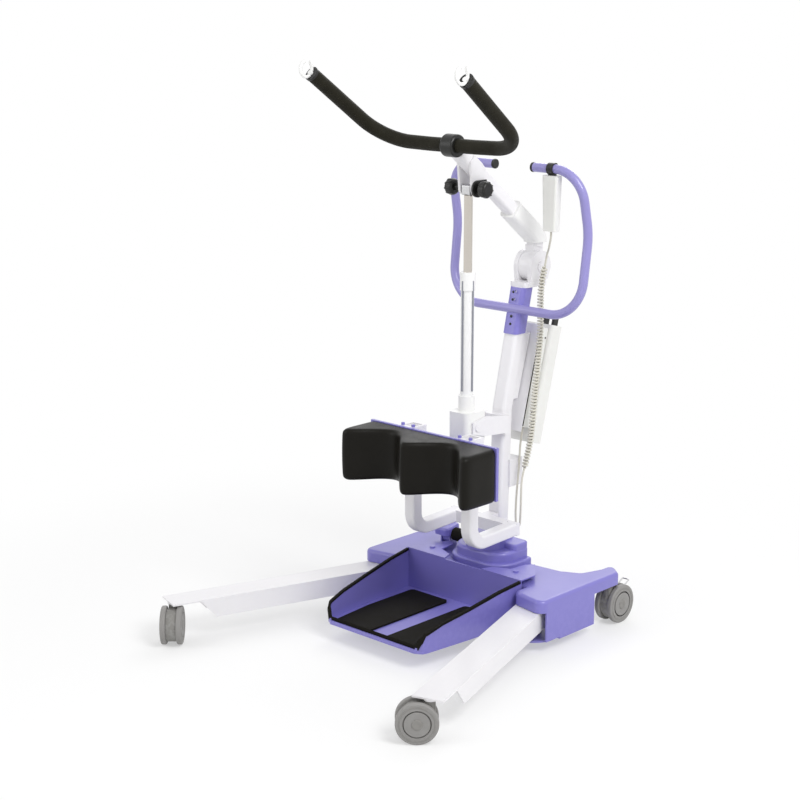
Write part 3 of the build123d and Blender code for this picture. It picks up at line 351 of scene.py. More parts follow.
def black_foam():
    """Foam grips of the sling handle."""
    return finish_material(
        "closed_cell_foam", (0.014, 0.0125, 0.0065), (0.009, 0.008, 0.0045), 0.58,
        (1400.0, 0.0006, 260.0, 0.35), spread=0.12, cloud=40.0, amount=0.6, sheen=0.03, specular=0.14,
    )


def black_rubber():
    """Tread mats, tray edging and pedal roller."""
    return finish_material(
        "tread_rubber", (0.0075, 0.0068, 0.005), (0.011, 0.010, 0.007), 0.72,
        (1200.0, 0.0003, 200.0, 0.3), cloud=30.0, amount=0.5, specular=0.1,
    )


def black_plastic():
    """Knobs, caps and collar."""
    return finish_material(
        "black_moulding", (0.008, 0.008, 0.007), (0.013, 0.013, 0.011), 0.3, (1500.0, 0.00012, 200.0, 0.3),
        rub=0.2, rubbed=(0.05, 0.05, 0.05), specular=0.4,
    )


def pad_skin():
    """Skin of the knee pad."""
    return finish_material(
        "pad_skin", (0.0055, 0.0046, 0.0028), (0.0042, 0.0036, 0.0022), 0.34,
        (1100.0, 0.0002, 90.0, 0.3), spread=0.12, cloud=18.0, amount=0.6, sheen=0.01, specular=0.16,
    )


def castor_grey():
    """Castor hoods."""
    return finish_material(
        "castor_moulding", (0.235, 0.228, 0.215), (0.20, 0.194, 0.182), 0.48, (1400.0, 0.0001, 200.0, 0.3),
        rub=0.3, rubbed=(0.4, 0.4, 0.39),
    )


def castor_tyre():
    """Castor wheels."""
    return finish_material(
        "castor_tread", (0.265, 0.258, 0.25), (0.225, 0.22, 0.21), 0.52, (1200.0, 0.00015, 160.0, 0.3),
        rub=0.2, rubbed=(0.42, 0.42, 0.42), cloud=30.0,
    )


def button_grey():
    """Handset buttons, and the painted shade in the tube grooves."""
    return finish_material(
        "button_membrane", (0.25, 0.26, 0.30), (0.21, 0.22, 0.26), 0.5, (1300.0, 0.0001, 160.0, 0.3),
    )


def cord_skin():
    """Jacket of the handset cord."""
    return finish_material(
        "cord_jacket", (0.66, 0.64, 0.56), (0.58, 0.56, 0.48), 0.46, (1500.0, 0.00005, 200.0, 0.3),
        cloud=60.0,
    )


MATERIALS = {
    "purple_paint": purple_paint(),
    "white_paint": white_paint(),
    "white_plastic": white_plastic(),
    "pale_plastic": pale_plastic(),
    "aluminium_white": anodised_tube(),
    "chrome_rod": chrome_rod(),
    "steel": bright_steel(),
    "black_foam": black_foam(),
    "black_rubber": black_rubber(),
    "black_plastic": black_plastic(),
    "pad_vinyl": pad_skin(),
    "castor_grey": castor_grey(),
    "castor_tyre": castor_tyre(),
    "button_grey": button_grey(),
    "cord_grey": cord_skin(),
}
SPECIAL = {
    "push_loop": loop_paint(),
    "pivot_pins": MATERIALS["white_paint"],
    "tray_fixings": MATERIALS["purple_paint"],
}


def dress_nodes():
    """Gives every CAD node the finish of its slot."""
    slots = {s["node"]: s["material_slot"] for s in frame["record"]["subparts"]}
    for name, obj in NODES.items():
        material = SPECIAL.get(name, MATERIALS[slots[name]])
        obj.data.materials.clear()
        obj.data.materials.append(material)


# ------------------------------------------------------------------ mesh helpers

def finished(name, mesh_data, body, slot, smooth=True):
    """Links a mesh as a piece on a body, with the material of a record slot."""
    obj = bpy.data.objects.new(name, mesh_data)
    bpy.context.scene.collection.objects.link(obj)
    obj.data.materials.clear()
    obj.data.materials.append(MATERIALS[slot])
    if smooth:
        for face in obj.data.polygons:
            face.use_smooth = True
    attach(obj, body)
    return obj


def mesh_from(bm, name):
    """Welds a form, turns its faces outwards and returns its mesh."""
    bmesh.ops.remove_doubles(bm, verts=bm.verts, dist=1e-6)
    bmesh.ops.recalc_face_normals(bm, faces=bm.faces)
    data = bpy.data.meshes.new(name)
    bm.to_mesh(data)
    bm.free()
    return data


def applied(obj):
    """Bakes the object's live modifiers into a plain mesh and drops the object."""
    bpy.context.view_layer.update()
    graph = bpy.context.evaluated_depsgraph_get()
    data = bpy.data.meshes.new_from_object(obj.evaluated_get(graph))
    bpy.data.objects.remove(obj)
    return data


def loose(name, data):
    """Puts a mesh in the scene for a moment, so modifiers can work on it."""
    obj = bpy.data.objects.new(name, data)
    bpy.context.scene.collection.objects.link(obj)
    return obj


def loop_skin(rings, name):
    """Skins equal rings of points into one closed form."""
    bm = bmesh.new()
    rows = [[bm.verts.new(p) for p in ring] for ring in rings]
    count = len(rows[0])
    for low, high in zip(rows, rows[1:]):
        for i in range(count):
            j = (i + 1) % count
            bm.faces.new((low[i], low[j], high[j], high[i]))
    bm.faces.new(list(reversed(rows[0])))
    bm.faces.new(rows[-1])
    return mesh_from(bm, name)


# ------------------------------------------------------------------ cord

CORD_DIAMETER = 0.0052
COIL_RADIUS = 0.0060
COIL_PITCH = 0.0078
TURN_POINTS = 12
COIL_RAMP = 0.012
LEAD_STEP = 0.004
CORD_SIDES = 8
CORD_CURVE_STEPS = 24
COIL_START = (0.060, 0.829, 0.876)
COIL_END = (0.060, 0.761, 0.368)
PLUG_X = 0.024
HANDSET_X = (HANDSET_BOX[0].x + HANDSET_BOX[1].x) / 2
LEAN = math.radians(15.0)
BOX_FOOT = (0.771, 0.436)
DOCK_DEPTH = 0.038
DOCK_LOW = 0.036


def lean_point(x, y, z):
    """A point in the leaning control box's own measure, in the frame."""
    return place(
        x,
        BOX_FOOT[0] + y * math.cos(LEAN) + z * math.sin(LEAN),
        BOX_FOOT[1] - y * math.sin(LEAN) + z * math.cos(LEAN),
    )


def cord_route():
    """Control points from the handset down the coil and up to the control box."""
    lead = [
        (HANDSET_X, 0.777, 0.970), (HANDSET_X, 0.777, 0.952), (0.106, 0.786, 0.932), (0.088, 0.806, 0.918),
        (0.070, 0.825, 0.909), (0.060, 0.8341, 0.894), COIL_START,
    ]
    coil = [
        (0.060, 0.812, 0.816), (0.060, 0.817, 0.715), (0.060, 0.808, 0.641), (0.060, 0.797, 0.541),
        (0.060, 0.786, 0.440), COIL_END,
    ]
    tail = [
        (0.060, 0.75225, 0.3428), (0.061, 0.750, 0.300), (0.061, 0.7495, 0.255), (0.059, 0.7495, 0.222),
        (0.047, 0.7495, 0.222), (0.044, 0.750, 0.255), (0.043, 0.754, 0.305), (0.040, 0.764, 0.355),
        (0.032, 0.777, 0.395),
    ]
    points = [place(*p) for p in lead + coil + tail]
    points.append(lean_point(PLUG_X, DOCK_DEPTH / 2, 0.001))
    points.append(lean_point(PLUG_X, DOCK_DEPTH / 2, DOCK_LOW))
    return points


def smooth_line(points, name, resolution):
    """Points along an order 3 NURBS through the route."""
    data = bpy.data.curves.new(name, "CURVE")
    data.dimensions = "3D"
    data.resolution_u = resolution
    spline = data.splines.new("NURBS")
    spline.points.add(len(points) - 1)
    for target, point in zip(spline.points, points):
        target.co = (*point, 1.0)
    spline.order_u = 3
    spline.use_endpoint_u = True
    obj = loose(name, data)
    mesh = applied(obj)
    line = [v.co.copy() for v in mesh.vertices]
    bpy.data.meshes.remove(mesh)
    bpy.data.curves.remove(data)
    return line


def running_lengths(line):
    """Distance from the start of a line to each of its points."""
    total = [0.0]
    for a, b in zip(line, line[1:]):
        total.append(total[-1] + (b - a).length)
    return total


def at_length(line, lengths, s):
    """Point and direction at a distance along a line."""
    s = min(max(s, 0.0), lengths[-1])
    low, high = 0, len(lengths) - 1
    while high - low > 1:
        middle = (low + high) // 2
        if lengths[middle] <= s:
            low = middle
        else:
            high = middle
    step = lengths[high] - lengths[low]
    part = (s - lengths[low]) / step if step > 0 else 0.0
    return line[low].lerp(line[high], part), (line[high] - line[low]).normalized()


def soft_step(value):
    """Smooth change from 0 to 1."""
    value = min(max(value, 0.0), 1.0)
    return value * value * (3 - 2 * value)


def nearest_length(line, lengths, target):
    """Distance along a line to its point closest to a target."""
    best = min(range(len(line)), key=lambda i: (line[i] - target).length)
    return lengths[best]


def curly_points(line):
    """The cord's own line: straight leads with a helix between them."""
    lengths = running_lengths(line)
    coil_start = nearest_length(line, lengths, place(*COIL_START))
    coil_end = nearest_length(line, lengths, place(*COIL_END))
    points = []
    s = 0.0
    angle = 0.0
    side = Vector((1, 0, 0))
    while s < lengths[-1]:
        point, way = at_length(line, lengths, s)
        side = (side - way * side.dot(way)).normalized()
        up = way.cross(side)
        swell = soft_step((s - coil_start) / COIL_RAMP) * soft_step((coil_end - s) / COIL_RAMP)
        offset = (side * math.cos(angle) + up * math.sin(angle)) * COIL_RADIUS * swell
        points.append(point + offset)
        if swell > 0.0:
            angle += 2 * math.pi / TURN_POINTS
            s += COIL_PITCH / TURN_POINTS
        else:
            s += LEAD_STEP
    points.append(line[-1].copy())
    return points


def tube_mesh(points, radius, sides, name):
    """Round tube along points, with a frame carried from ring to ring."""
    rings = []
    side = Vector((1, 0, 0))
    for i, point in enumerate(points):
        before = points[max(i - 1, 0)]
        after = points[min(i + 1, len(points) - 1)]
        way = (after - before).normalized()
        side = side - way * side.dot(way)
        if side.length < 1e-4:
            side = way.orthogonal()
        side.normalize()
        up = way.cross(side)
        ring = []
        for k in range(sides):
            turn = 2 * math.pi * k / sides
            ring.append(point + (side * math.cos(turn) + up * math.sin(turn)) * radius)
        rings.append(ring)
    return loop_skin(rings, name)


def add_cord():
    """Handset cord: straight lead, coil and tail as one tube."""
    route = cord_route()
    line = smooth_line(route, "cord_route", CORD_CURVE_STEPS)
    points = curly_points(line)
    data = tube_mesh(points, CORD_DIAMETER / 2, CORD_SIDES, "handset_cord")
    cord = finished("handset_cord", data, "base", "cord_grey")
    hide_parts("cord_lead", "cord_coil", "cord_tail")


# ------------------------------------------------------------------ knee pad

PAD_BACK = 0.4848
PAD_RIDGE_Y = 0.3755
PAD_VALLEY_Y = 0.4475
RIDGE_X = 0.186
PAD_EDGE_X = 0.2026
EDGE_ROUND = 0.012
SIDE_ROUND = 0.010
PAD_STEPS = 96
SIDE_STEPS = 6
ROLL_STEPS = 5
LEVEL_STEPS = 10
HOLLOW_POWER = 1.35
EDGE_SAG = 0.0035
FRONT_CROWN = 0.0025


def pad_front_line(x):
    """Distance of the pad's front from the castor line, across its width."""
    x = abs(x)
    if x >= RIDGE_X:
        return PAD_RIDGE_Y
    swing = math.sin(math.pi * x / RIDGE_X)
    return PAD_RIDGE_Y + (PAD_VALLEY_Y - PAD_RIDGE_Y) * swing ** HOLLOW_POWER


def pad_plan(inset):
    """Closed plan of the pad, drawn in by an inset on all sides but the back."""
    half = PAD_EDGE_X - inset
    plan = []
    for i in range(PAD_STEPS + 1):
        x = half * (2 * i / PAD_STEPS - 1)
        depth = half - abs(x)
        corner = 0.0
        if depth < SIDE_ROUND:
            lost = 1 - depth / SIDE_ROUND
            corner = SIDE_ROUND * (1 - math.sqrt(max(0.0, 1 - lost * lost)))
        plan.append((x, pad_front_line(x) + inset + corner))
    side_front = plan[-1][1]
    for i in range(1, SIDE_STEPS + 1):
        plan.append((half, side_front + (PAD_BACK - side_front) * i / SIDE_STEPS))
    for i in range(1, PAD_STEPS):
        plan.append((half * (1 - 2 * i / PAD_STEPS), PAD_BACK))
    for i in range(SIDE_STEPS, 0, -1):
        plan.append((-half, side_front + (PAD_BACK - side_front) * i / SIDE_STEPS))
    return plan


def pad_cap(bm, ring, flip):
    """Closes a level of the pad with quads from its front line to its back line."""
    front = ring[: PAD_STEPS + 1]
    start = PAD_STEPS + SIDE_STEPS
    back = [ring[start + PAD_STEPS - i] for i in range(PAD_STEPS + 1)]
    left = [front[0]] + [ring[-k] for k in range(1, SIDE_STEPS + 1)]
    right = [front[-1]] + [ring[PAD_STEPS + k] for k in range(1, SIDE_STEPS + 1)]
    rows = [front]
    for k in range(1, SIDE_STEPS):
        row = [left[k]]
        for i in range(1, PAD_STEPS):
            row.append(bm.verts.new(front[i].co.lerp(back[i].co, k / SIDE_STEPS)))
        row.append(right[k])
        rows.append(row)
    rows.append(back)
    for low, high in zip(rows, rows[1:]):
        for i in range(PAD_STEPS):
            quad = (low[i], low[i + 1], high[i + 1], high[i])
            bm.faces.new(tuple(reversed(quad)) if flip else quad)


def pad_levels(low, high):
    """Height and inset of each level from the bottom roll to the top roll."""
    height = high - low
    roll = []
    for k in range(ROLL_STEPS + 1):
        turn = math.pi / 2 * k / ROLL_STEPS
        roll.append((EDGE_ROUND * (1 - math.cos(turn)), EDGE_ROUND * (1 - math.sin(turn))))
    levels = [(low + lift, inset) for lift, inset in roll]
    for k in range(1, LEVEL_STEPS):
        levels.append((low + EDGE_ROUND + (height - 2 * EDGE_ROUND) * k / LEVEL_STEPS, 0.0))
    levels += [(high - lift, inset) for lift, inset in reversed(roll)]
    return levels


def pad_soft(point, low, high):
    """Lets the skin pull in a little between the ridges and bulge between its edges."""
    tall = (point.z - low) / (high - low)
    crown = math.sin(math.pi * min(max(tall, 0.0), 1.0))
    across = pad_front_line(point.x)
    depth = (PAD_BACK + CASTOR_LINE) - point.y
    front = min(max(depth / (PAD_BACK - across), 0.0), 1.0)
    edge = abs(tall - 0.5) * 2
    hollow = (across - PAD_RIDGE_Y) / (PAD_VALLEY_Y - PAD_RIDGE_Y)
    sag = EDGE_SAG * edge * edge * hollow * front
    lift = sag if tall < 0.5 else -sag * 0.6
    return Vector((point.x, point.y + FRONT_CROWN * (1 - crown) * front, point.z + lift))


def add_knee_pad():
    """Moulded pad with three upright ridges, two shin hollows and rolled edges."""
    low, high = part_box("knee_pad")
    bm = bmesh.new()
    rings = []
    for z, inset in pad_levels(low.z, high.z):
        rings.append([bm.verts.new(place(x, y, z)) for x, y in pad_plan(inset)])
    for lower, upper in zip(rings, rings[1:]):
        count = len(lower)
        for i in range(count):
            j = (i + 1) % count
            bm.faces.new((lower[i], lower[j], upper[j], upper[i]))
    pad_cap(bm, rings[0], True)
    pad_cap(bm, rings[-1], False)
    for vertex in bm.verts:
        vertex.co = pad_soft(vertex.co, low.z, high.z)
    obj = loose("knee_pad_form", mesh_from(bm, "knee_pad_form"))
    even = obj.modifiers.new("even", "SMOOTH")
    even.factor = 0.5
    even.iterations = 3
    finer = obj.modifiers.new("finer", "SUBSURF")
    finer.levels = 1
    finer.render_levels = 1
    pad = finished("knee_pad_moulding", applied(obj), "knee_support", "pad_vinyl")
    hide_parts("knee_pad")


# ------------------------------------------------------------------ small details

def geometry_tree(name, inputs):
    """Geometry Nodes tree with named inputs and a geometry output."""
    tree = bpy.data.node_groups.new(name, "GeometryNodeTree")
    for kind, label, value in inputs:
        socket_in(tree, kind, label, value)
    tree.interface.new_socket(name="Geometry", in_out="OUTPUT", socket_type="NodeSocketGeometry")
    return tree, tree.nodes.new("NodeGroupInput"), tree.nodes.new("NodeGroupOutput")


STUD_INPUTS = [
    ("NodeSocketInt", "Count", 6),
    ("NodeSocketVector", "Stud", (0.003, 0.003, 0.003)),
    ("NodeSocketVector", "Turn", (0.0, 0.0, 0.0)),
    ("NodeSocketVector", "Place", (0.0, 0.0, 0.0)),
    ("NodeSocketMaterial", "Material", None),
]


def end_studs(tree, start, end, points, rotation):
    """Puts one round stud on each point, then turns, places and paints them all."""
    ball = tree.nodes.new("GeometryNodeMeshUVSphere")
    ball.inputs["Segments"].default_value = 20
    ball.inputs["Rings"].default_value = 10
    ball.inputs["Radius"].default_value = 1.0
    copies = tree.nodes.new("GeometryNodeInstanceOnPoints")
    tree.links.new(points, copies.inputs["Points"])
    tree.links.new(ball.outputs["Mesh"], copies.inputs["Instance"])
    tree.links.new(start.outputs["Stud"], copies.inputs["Scale"])
    if rotation is not None:
        tree.links.new(rotation, copies.inputs["Rotation"])
    real = tree.nodes.new("GeometryNodeRealizeInstances")
    tree.links.new(copies.outputs["Instances"], real.inputs[0])
    move = tree.nodes.new("GeometryNodeTransform")
    tree.links.new(real.outputs[0], move.inputs["Geometry"])
    tree.links.new(start.outputs["Turn"], move.inputs["Rotation"])
    tree.links.new(start.outputs["Place"], move.inputs["Translation"])
    paint = tree.nodes.new("GeometryNodeSetMaterial")
    tree.links.new(move.outputs["Geometry"], paint.inputs["Geometry"])
    tree.links.new(start.outputs["Material"], paint.inputs["Material"])
    tree.links.new(paint.outputs["Geometry"], end.inputs["Geometry"])


def build_ring_tree():
    """Studs evenly round a circle, each turned to face outwards."""
    inputs = [("NodeSocketFloat", "Ring radius", 0.01), *STUD_INPUTS]
    tree, start, end = geometry_tree("studs_on_ring", inputs)
    circle = tree.nodes.new("GeometryNodeMeshCircle")
    tree.links.new(start.outputs["Count"], circle.inputs["Vertices"])
    tree.links.new(start.outputs["Ring radius"], circle.inputs["Radius"])
    spot = tree.nodes.new("GeometryNodeInputPosition")
    parts = tree.nodes.new("ShaderNodeSeparateXYZ")
    tree.links.new(spot.outputs[0], parts.inputs[0])
    angle = tree.nodes.new("ShaderNodeMath")
    angle.operation = "ARCTAN2"
    tree.links.new(parts.outputs["Y"], angle.inputs[0])
    tree.links.new(parts.outputs["X"], angle.inputs[1])
    turn = tree.nodes.new("ShaderNodeCombineXYZ")
    tree.links.new(angle.outputs[0], turn.inputs["Z"])
    end_studs(tree, start, end, circle.outputs["Mesh"], turn.outputs[0])
    return tree


def build_row_tree():
    """Studs at equal steps along a line."""
    inputs = [("NodeSocketVector", "Step", (0.0, 0.0, 0.01)), *STUD_INPUTS]
    tree, start, end = geometry_tree("studs_in_row", inputs)
    line = tree.nodes.new("GeometryNodeMeshLine")
    tree.links.new(start.outputs["Count"], line.inputs["Count"])
    tree.links.new(start.outputs["Step"], line.inputs["Offset"])
    end_studs(tree, start, end, line.outputs["Mesh"], None)
    return tree


STUDS_ON_RING = build_ring_tree()
STUDS_IN_ROW = build_row_tree()


def studs(tree, slot, **values):
    """Plain mesh of one ring or row of studs."""
    obj = loose("studs", bpy.data.meshes.new("studs"))
    maker = obj.modifiers.new("studs", "NODES")
    maker.node_group = tree
    values["Material"] = MATERIALS[slot]
    for item in tree.interface.items_tree:
        if item.in_out == "INPUT" and item.name.replace(" ", "_") in values:
            maker[item.identifier] = values[item.name.replace(" ", "_")]
    return applied(obj)


def joined(name, meshes):
    """One mesh from several."""
    bm = bmesh.new()
    for data in meshes:
        bm.from_mesh(data)
    return mesh_from(bm, name)


def bar_mesh(corners, rounding):
    """Bevelled bar from its eight corners, bottom four first."""
    bm = bmesh.new()
    verts = [bm.verts.new(c) for c in corners]
    for face in ((3, 2, 1, 0), (4, 5, 6, 7), (0, 1, 5, 4), (1, 2, 6, 5), (2, 3, 7, 6), (3, 0, 4, 7)):
        bm.faces.new([verts[i] for i in face])
    bmesh.ops.bevel(
        bm, geom=list(bm.edges), offset=rounding, segments=2, profile=0.5, affect="EDGES"
    )
    return mesh_from(bm, "bar")


def bar(low, high, rounding=0.0004, at=place):
    """Bevelled bar between two corners, in the part's own measure."""
    x0, y0, z0 = low
    x1, y1, z1 = high
    ring = ((x0, y0), (x1, y0), (x1, y1), (x0, y1))
    corners = [at(x, y, z) for z in (z0, z1) for x, y in ring]
    return bar_mesh(corners, rounding)


def lathed(profile, middle, axis, name, steps=40):
    """Round piece from a profile of (distance along the axis, radius)."""
    axis = Vector(axis).normalized()
    side = axis.orthogonal().normalized()
    up = axis.cross(side)
    rings = []
    for along, radius in profile:
        ring = []
        for k in range(steps):
            turn = 2 * math.pi * k / steps
            ring.append(middle + axis * along + (side * math.cos(turn) + up * math.sin(turn)) * radius)
        rings.append(ring)
    return loop_skin(rings, name)


KNOB_FLUTES = 9
FLUTE_LENGTH = 0.0095
FLUTE_SIZE = (0.0026, 0.0042)
FLUTE_SUNK = 0.0012
FLUTE_BACK = 0.001


def add_knob_flutes():
    """Grip ribs round the two knobs of the handle joint."""
    for side, body in ((1, "knob_right"), (-1, "knob_left")):
        low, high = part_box(body)
        middle = (low + high) / 2
        radius = (high.z - low.z) / 2
        outer = high.x if side > 0 else low.x
        data = studs(
            STUDS_ON_RING, "black_plastic", Count=KNOB_FLUTES, Ring_radius=radius - FLUTE_SUNK,
            Stud=(*FLUTE_SIZE, FLUTE_LENGTH), Turn=(0.0, math.pi / 2, 0.0),
            Place=(outer - side * (FLUTE_LENGTH + FLUTE_BACK), middle.y, middle.z),
        )
        finished(body + "_flutes", data, body, "black_plastic")


HUB_SHARE = 0.26
RIM_SHARE = 0.84
CAP_HEIGHT = 0.0016
RIM_HEIGHT = 0.0008
HUB_SUNK = 0.001
CAP_EYE = 0.0004


def add_castor_hubs():
    """Domed hub caps and a raised tread edge on both faces of each castor."""
    rear_low, rear_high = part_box("castor_wheels_rear_left")
    half = (rear_high.x - rear_low.x) / 2
    for joint in frame["joints"]:
        if not joint["name"].endswith("_roll"):
            continue
        middle = Vector(joint["pos_m"])
        axis = Vector(joint["axis"])
        hub = middle.z * HUB_SHARE
        rim_edge = middle.z * RIM_SHARE
        cap = [
            (half - HUB_SUNK, hub), (half + CAP_HEIGHT * 0.5, hub), (half + CAP_HEIGHT, hub * 0.86),
            (half + CAP_HEIGHT * 0.9, hub * 0.5), (half + CAP_HEIGHT * 0.5, hub * 0.3),
            (half + CAP_HEIGHT * 0.5, CAP_EYE),
        ]
        rim = [
            (half - HUB_SUNK, rim_edge), (half + RIM_HEIGHT, rim_edge * 0.995),
            (half + RIM_HEIGHT, rim_edge * 0.955), (half - HUB_SUNK, rim_edge * 0.95),
        ]
        meshes = []
        for side in (1, -1):
            meshes.append(lathed(cap, middle, axis * side, "cap"))
            meshes.append(lathed(rim, middle, axis * side, "rim"))
        finished(joint["child"] + "_hubs", joined("hubs", meshes), joint["child"], "castor_grey")


# Size and depth of the grey strips that paint the shade in the tube's grooves.
TUBE_GROOVES = 4
GROOVE_WIDTH = 0.0044
GROOVE_SUNK = 0.002
GROOVE_PROUD = 0.0001
GROOVE_FOOT = 0.012
GROOVE_TOP = 0.020
GROOVE_BEVEL = 0.00005


def add_actuator_groove_shade():
    """Grey strips sunk into the actuator's extruded tube along its length: painted shade of its grooves."""
    low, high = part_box("actuator_tube")
    middle = (low + high) / 2
    radius = (high.x - low.x) / 2
    meshes = []
    for k in range(TUBE_GROOVES):
        turn = 2 * math.pi * k / TUBE_GROOVES
        out = Vector((math.cos(turn), math.sin(turn), 0))
        side = Vector((-math.sin(turn), math.cos(turn), 0))
        inner = out * (radius - GROOVE_SUNK)
        outer = out * (radius + GROOVE_PROUD)
        ring = []
        for across, depth in ((-1, inner), (1, inner), (1, outer), (-1, outer)):
            ring.append(middle + side * across * GROOVE_WIDTH / 2 + depth)
        heights = (low.z + GROOVE_FOOT, high.z - GROOVE_TOP)
        corners = [Vector((p.x, p.y, z)) for z in heights for p in ring]
        meshes.append(bar_mesh(corners, GROOVE_BEVEL))
    # The strips lay grey where the grooves would fall into shade: painted shade.
    finished("tube_grooves", joined("tube_grooves", meshes), "actuator", "button_grey", smooth=False)


GASKET_PROUD = 0.0012
GASKET_SPAN = (-0.0005, 0.0055)
GASKET_TOP = 0.2895
PLATE_MARGIN = 0.003
PLATE_SPAN = (-0.004, -0.0006)
PLATE_TOP = 0.296
PLATE_BEVEL = 0.0012
BOX_SCREWS = 3
SCREW_SIZE = (0.0009, 0.0026, 0.0026)
SCREW_DEPTH = 0.030
SCREW_HEIGHTS = (0.075, 0.265)


def add_box_details():
    """Gasket, mounting plate and screws of the control box, in its own lean."""
    low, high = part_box("control_box")
    half = (high.x - low.x) / 2
    gasket = bar(
        (-half - GASKET_PROUD, GASKET_SPAN[0], DOCK_LOW + 0.002),
        (half + GASKET_PROUD, GASKET_SPAN[1], GASKET_TOP), at=lean_point,
    )
    finished("box_gasket", gasket, "base", "black_rubber")
    plate = bar(
        (-half - PLATE_MARGIN, PLATE_SPAN[0], DOCK_LOW - 0.012),
        (half + PLATE_MARGIN, PLATE_SPAN[1], PLATE_TOP), PLATE_BEVEL, lean_point,
    )
    finished("box_mounting_plate", plate, "base", "white_paint")
    meshes = []
    for side in (1, -1):
        foot, top = (lean_point(side * half, SCREW_DEPTH, z) for z in SCREW_HEIGHTS)
        meshes.append(
            studs(
                STUDS_IN_ROW, "black_plastic", Count=BOX_SCREWS,
                Step=tuple((top - foot) / (BOX_SCREWS - 1)), Stud=SCREW_SIZE, Place=tuple(foot),
            )
        )
    finished("box_screws", joined("box_screws", meshes), "base", "black_plastic")


MAST_LEAN = math.radians(7.0)
# Black discs inside the sleeve holes, as painted shade.
SLEEVE_FRONT = 0.0282
HOLE_DEPTH = 0.0026
HOLE_SHADE_SIZE = (0.0034, 0.0013, 0.0034)
HOLE_PAIRS = ((0.808, 0.789), (0.748, 0.729))


def add_sleeve_hole_shade():
    """Black discs set inside the two pairs of holes on the front of the mast sleeve: painted shade of the holes.
    """
    middle = centre("mast_sleeve")
    meshes = []
    for top, foot in HOLE_PAIRS:
        spots = []
        for z in (top, foot):
            y = middle.y + (z - middle.z) * math.tan(MAST_LEAN) - SLEEVE_FRONT + HOLE_DEPTH
            spots.append(Vector((middle.x, y, z)))
        meshes.append(
            studs(
                STUDS_IN_ROW, "black_plastic", Count=2, Step=tuple(spots[1] - spots[0]),
                Stud=HOLE_SHADE_SIZE, Place=tuple(spots[0]),
            )
        )
    # The black discs sit behind the sleeve's front so the holes look dark: painted shade.
    finished("sleeve_plugs", joined("sleeve_plugs", meshes), "base", "black_plastic")


# ------------------------------------------------------------------ stage and light

CLEAR_RADIUS = (0.75, 1.7)
NEAR_GLOW = 0.45
FLOOR_HALF = 12.0
WORLD_LEVEL = 0.62
# name, place, aim height, size and power
LAMPS = (
    ("key", (2.6, -0.4, 3.0), 0.4, 1.6, 75),
    ("fill", (-1.8, -3.2, 2.2), 0.6, 2.2, 32),
    ("back", (-1.4, 2.8, 2.6), 0.6, 1.8, 30),
)


def seen_directly(tree):
    """1 for rays from the camera, and for mirror-like and refracted rays."""
    path = tree.nodes.new("ShaderNodeLightPath")
    first = tree.nodes.new("ShaderNodeMath")
    first.operation = "MAXIMUM"
    tree.links.new(path.outputs["Is Camera Ray"], first.inputs[0])
    tree.links.new(path.outputs["Is Glossy Ray"], first.inputs[1])
    second = tree.nodes.new("ShaderNodeMath")
    second.operation = "MAXIMUM"
    tree.links.new(first.outputs[0], second.inputs[0])
    tree.links.new(path.outputs["Is Transmission Ray"], second.inputs[1])
    return second.outputs[0]


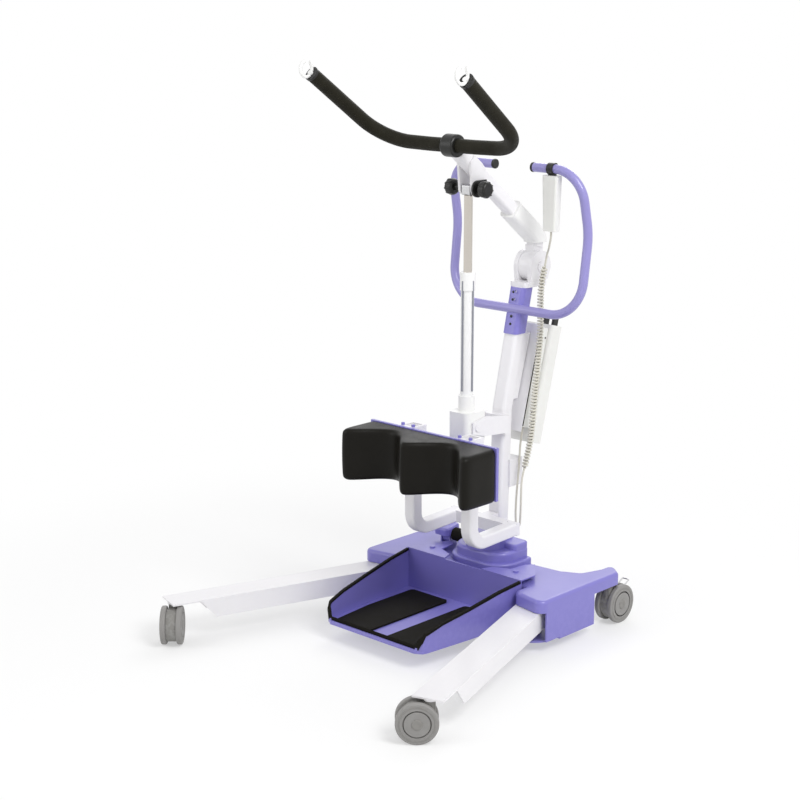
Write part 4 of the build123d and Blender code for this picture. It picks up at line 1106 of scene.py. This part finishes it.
def floor_material():
    """Pale floor that keeps the shadow near the object and is plain white beyond it."""
    material = bpy.data.materials.new("studio_floor")
    material.use_nodes = True
    tree = material.node_tree
    shader = tree.nodes["Principled BSDF"]
    shader.inputs["Base Color"].default_value = (0.9, 0.9, 0.9, 1)
    shader.inputs["Roughness"].default_value = 0.8
    shader.inputs["Specular IOR Level"].default_value = 0.2
    glow = tree.nodes.new("ShaderNodeEmission")
    glow.inputs["Color"].default_value = (1, 1, 1, 1)
    glow.inputs["Strength"].default_value = 1.0
    coords = tree.nodes.new("ShaderNodeTexCoord").outputs["Object"]
    reach = tree.nodes.new("ShaderNodeVectorMath")
    reach.operation = "LENGTH"
    tree.links.new(coords, reach.inputs[0])
    beyond = spread_node(tree, reach.outputs["Value"], *CLEAR_RADIUS, NEAR_GLOW, 1.0)
    beyond.interpolation_type = "SMOOTHSTEP"
    share = tree.nodes.new("ShaderNodeMath")
    share.operation = "MULTIPLY"
    tree.links.new(seen_directly(tree), share.inputs[0])
    tree.links.new(beyond.outputs["Result"], share.inputs[1])
    mix = tree.nodes.new("ShaderNodeMixShader")
    out = tree.nodes["Material Output"]
    tree.links.new(share.outputs[0], mix.inputs[0])
    tree.links.new(shader.outputs[0], mix.inputs[1])
    tree.links.new(glow.outputs[0], mix.inputs[2])
    tree.links.new(mix.outputs[0], out.inputs["Surface"])
    return material


def add_floor():
    """Floor plane under the lift."""
    data = bpy.data.meshes.new("studio_floor")
    signs = ((-1, -1), (1, -1), (1, 1), (-1, 1))
    corners = [(sx * FLOOR_HALF, sy * FLOOR_HALF, 0) for sx, sy in signs]
    data.from_pydata(corners, [], [(0, 1, 2, 3)])
    data.materials.append(floor_material())
    floor = bpy.data.objects.new("studio_floor", data)
    bpy.context.scene.collection.objects.link(floor)


def add_area(name, place_at, aim, size, power):
    """Square area lamp that faces a point."""
    data = bpy.data.lights.new(name, "AREA")
    data.shape = "SQUARE"
    data.size = size
    data.energy = power
    lamp = bpy.data.objects.new(name, data)
    lamp.location = place_at
    lamp.rotation_euler = (Vector(aim) - Vector(place_at)).to_track_quat("-Z", "Y").to_euler()
    bpy.context.scene.collection.objects.link(lamp)


def add_world():
    """Even light from all round, seen as white."""
    world = bpy.data.worlds.new("studio")
    bpy.context.scene.world = world
    world.use_nodes = True
    tree = world.node_tree
    back = tree.nodes["Background"]
    back.inputs["Color"].default_value = (1, 1, 1, 1)
    level = tree.nodes.new("ShaderNodeMapRange")
    level.inputs["To Min"].default_value = WORLD_LEVEL
    level.inputs["To Max"].default_value = 1.0
    tree.links.new(seen_directly(tree), level.inputs["Value"])
    tree.links.new(level.outputs["Result"], back.inputs["Strength"])


def add_lights():
    """The three studio lamps."""
    for name, spot, aim_height, size, power in LAMPS:
        add_area(name, spot, (0, 0, aim_height), size, power)


# ------------------------------------------------------------------ assembly

def main():
    """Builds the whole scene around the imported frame."""
    bpy.context.scene.view_settings.view_transform = "Standard"
    add_camera()
    add_world()
    add_lights()
    add_floor()
    dress_nodes()
    add_cord()
    add_knee_pad()
    add_knob_flutes()
    add_castor_hubs()
    add_actuator_groove_shade()
    add_box_details()
    add_sleeve_hole_shade()


main()
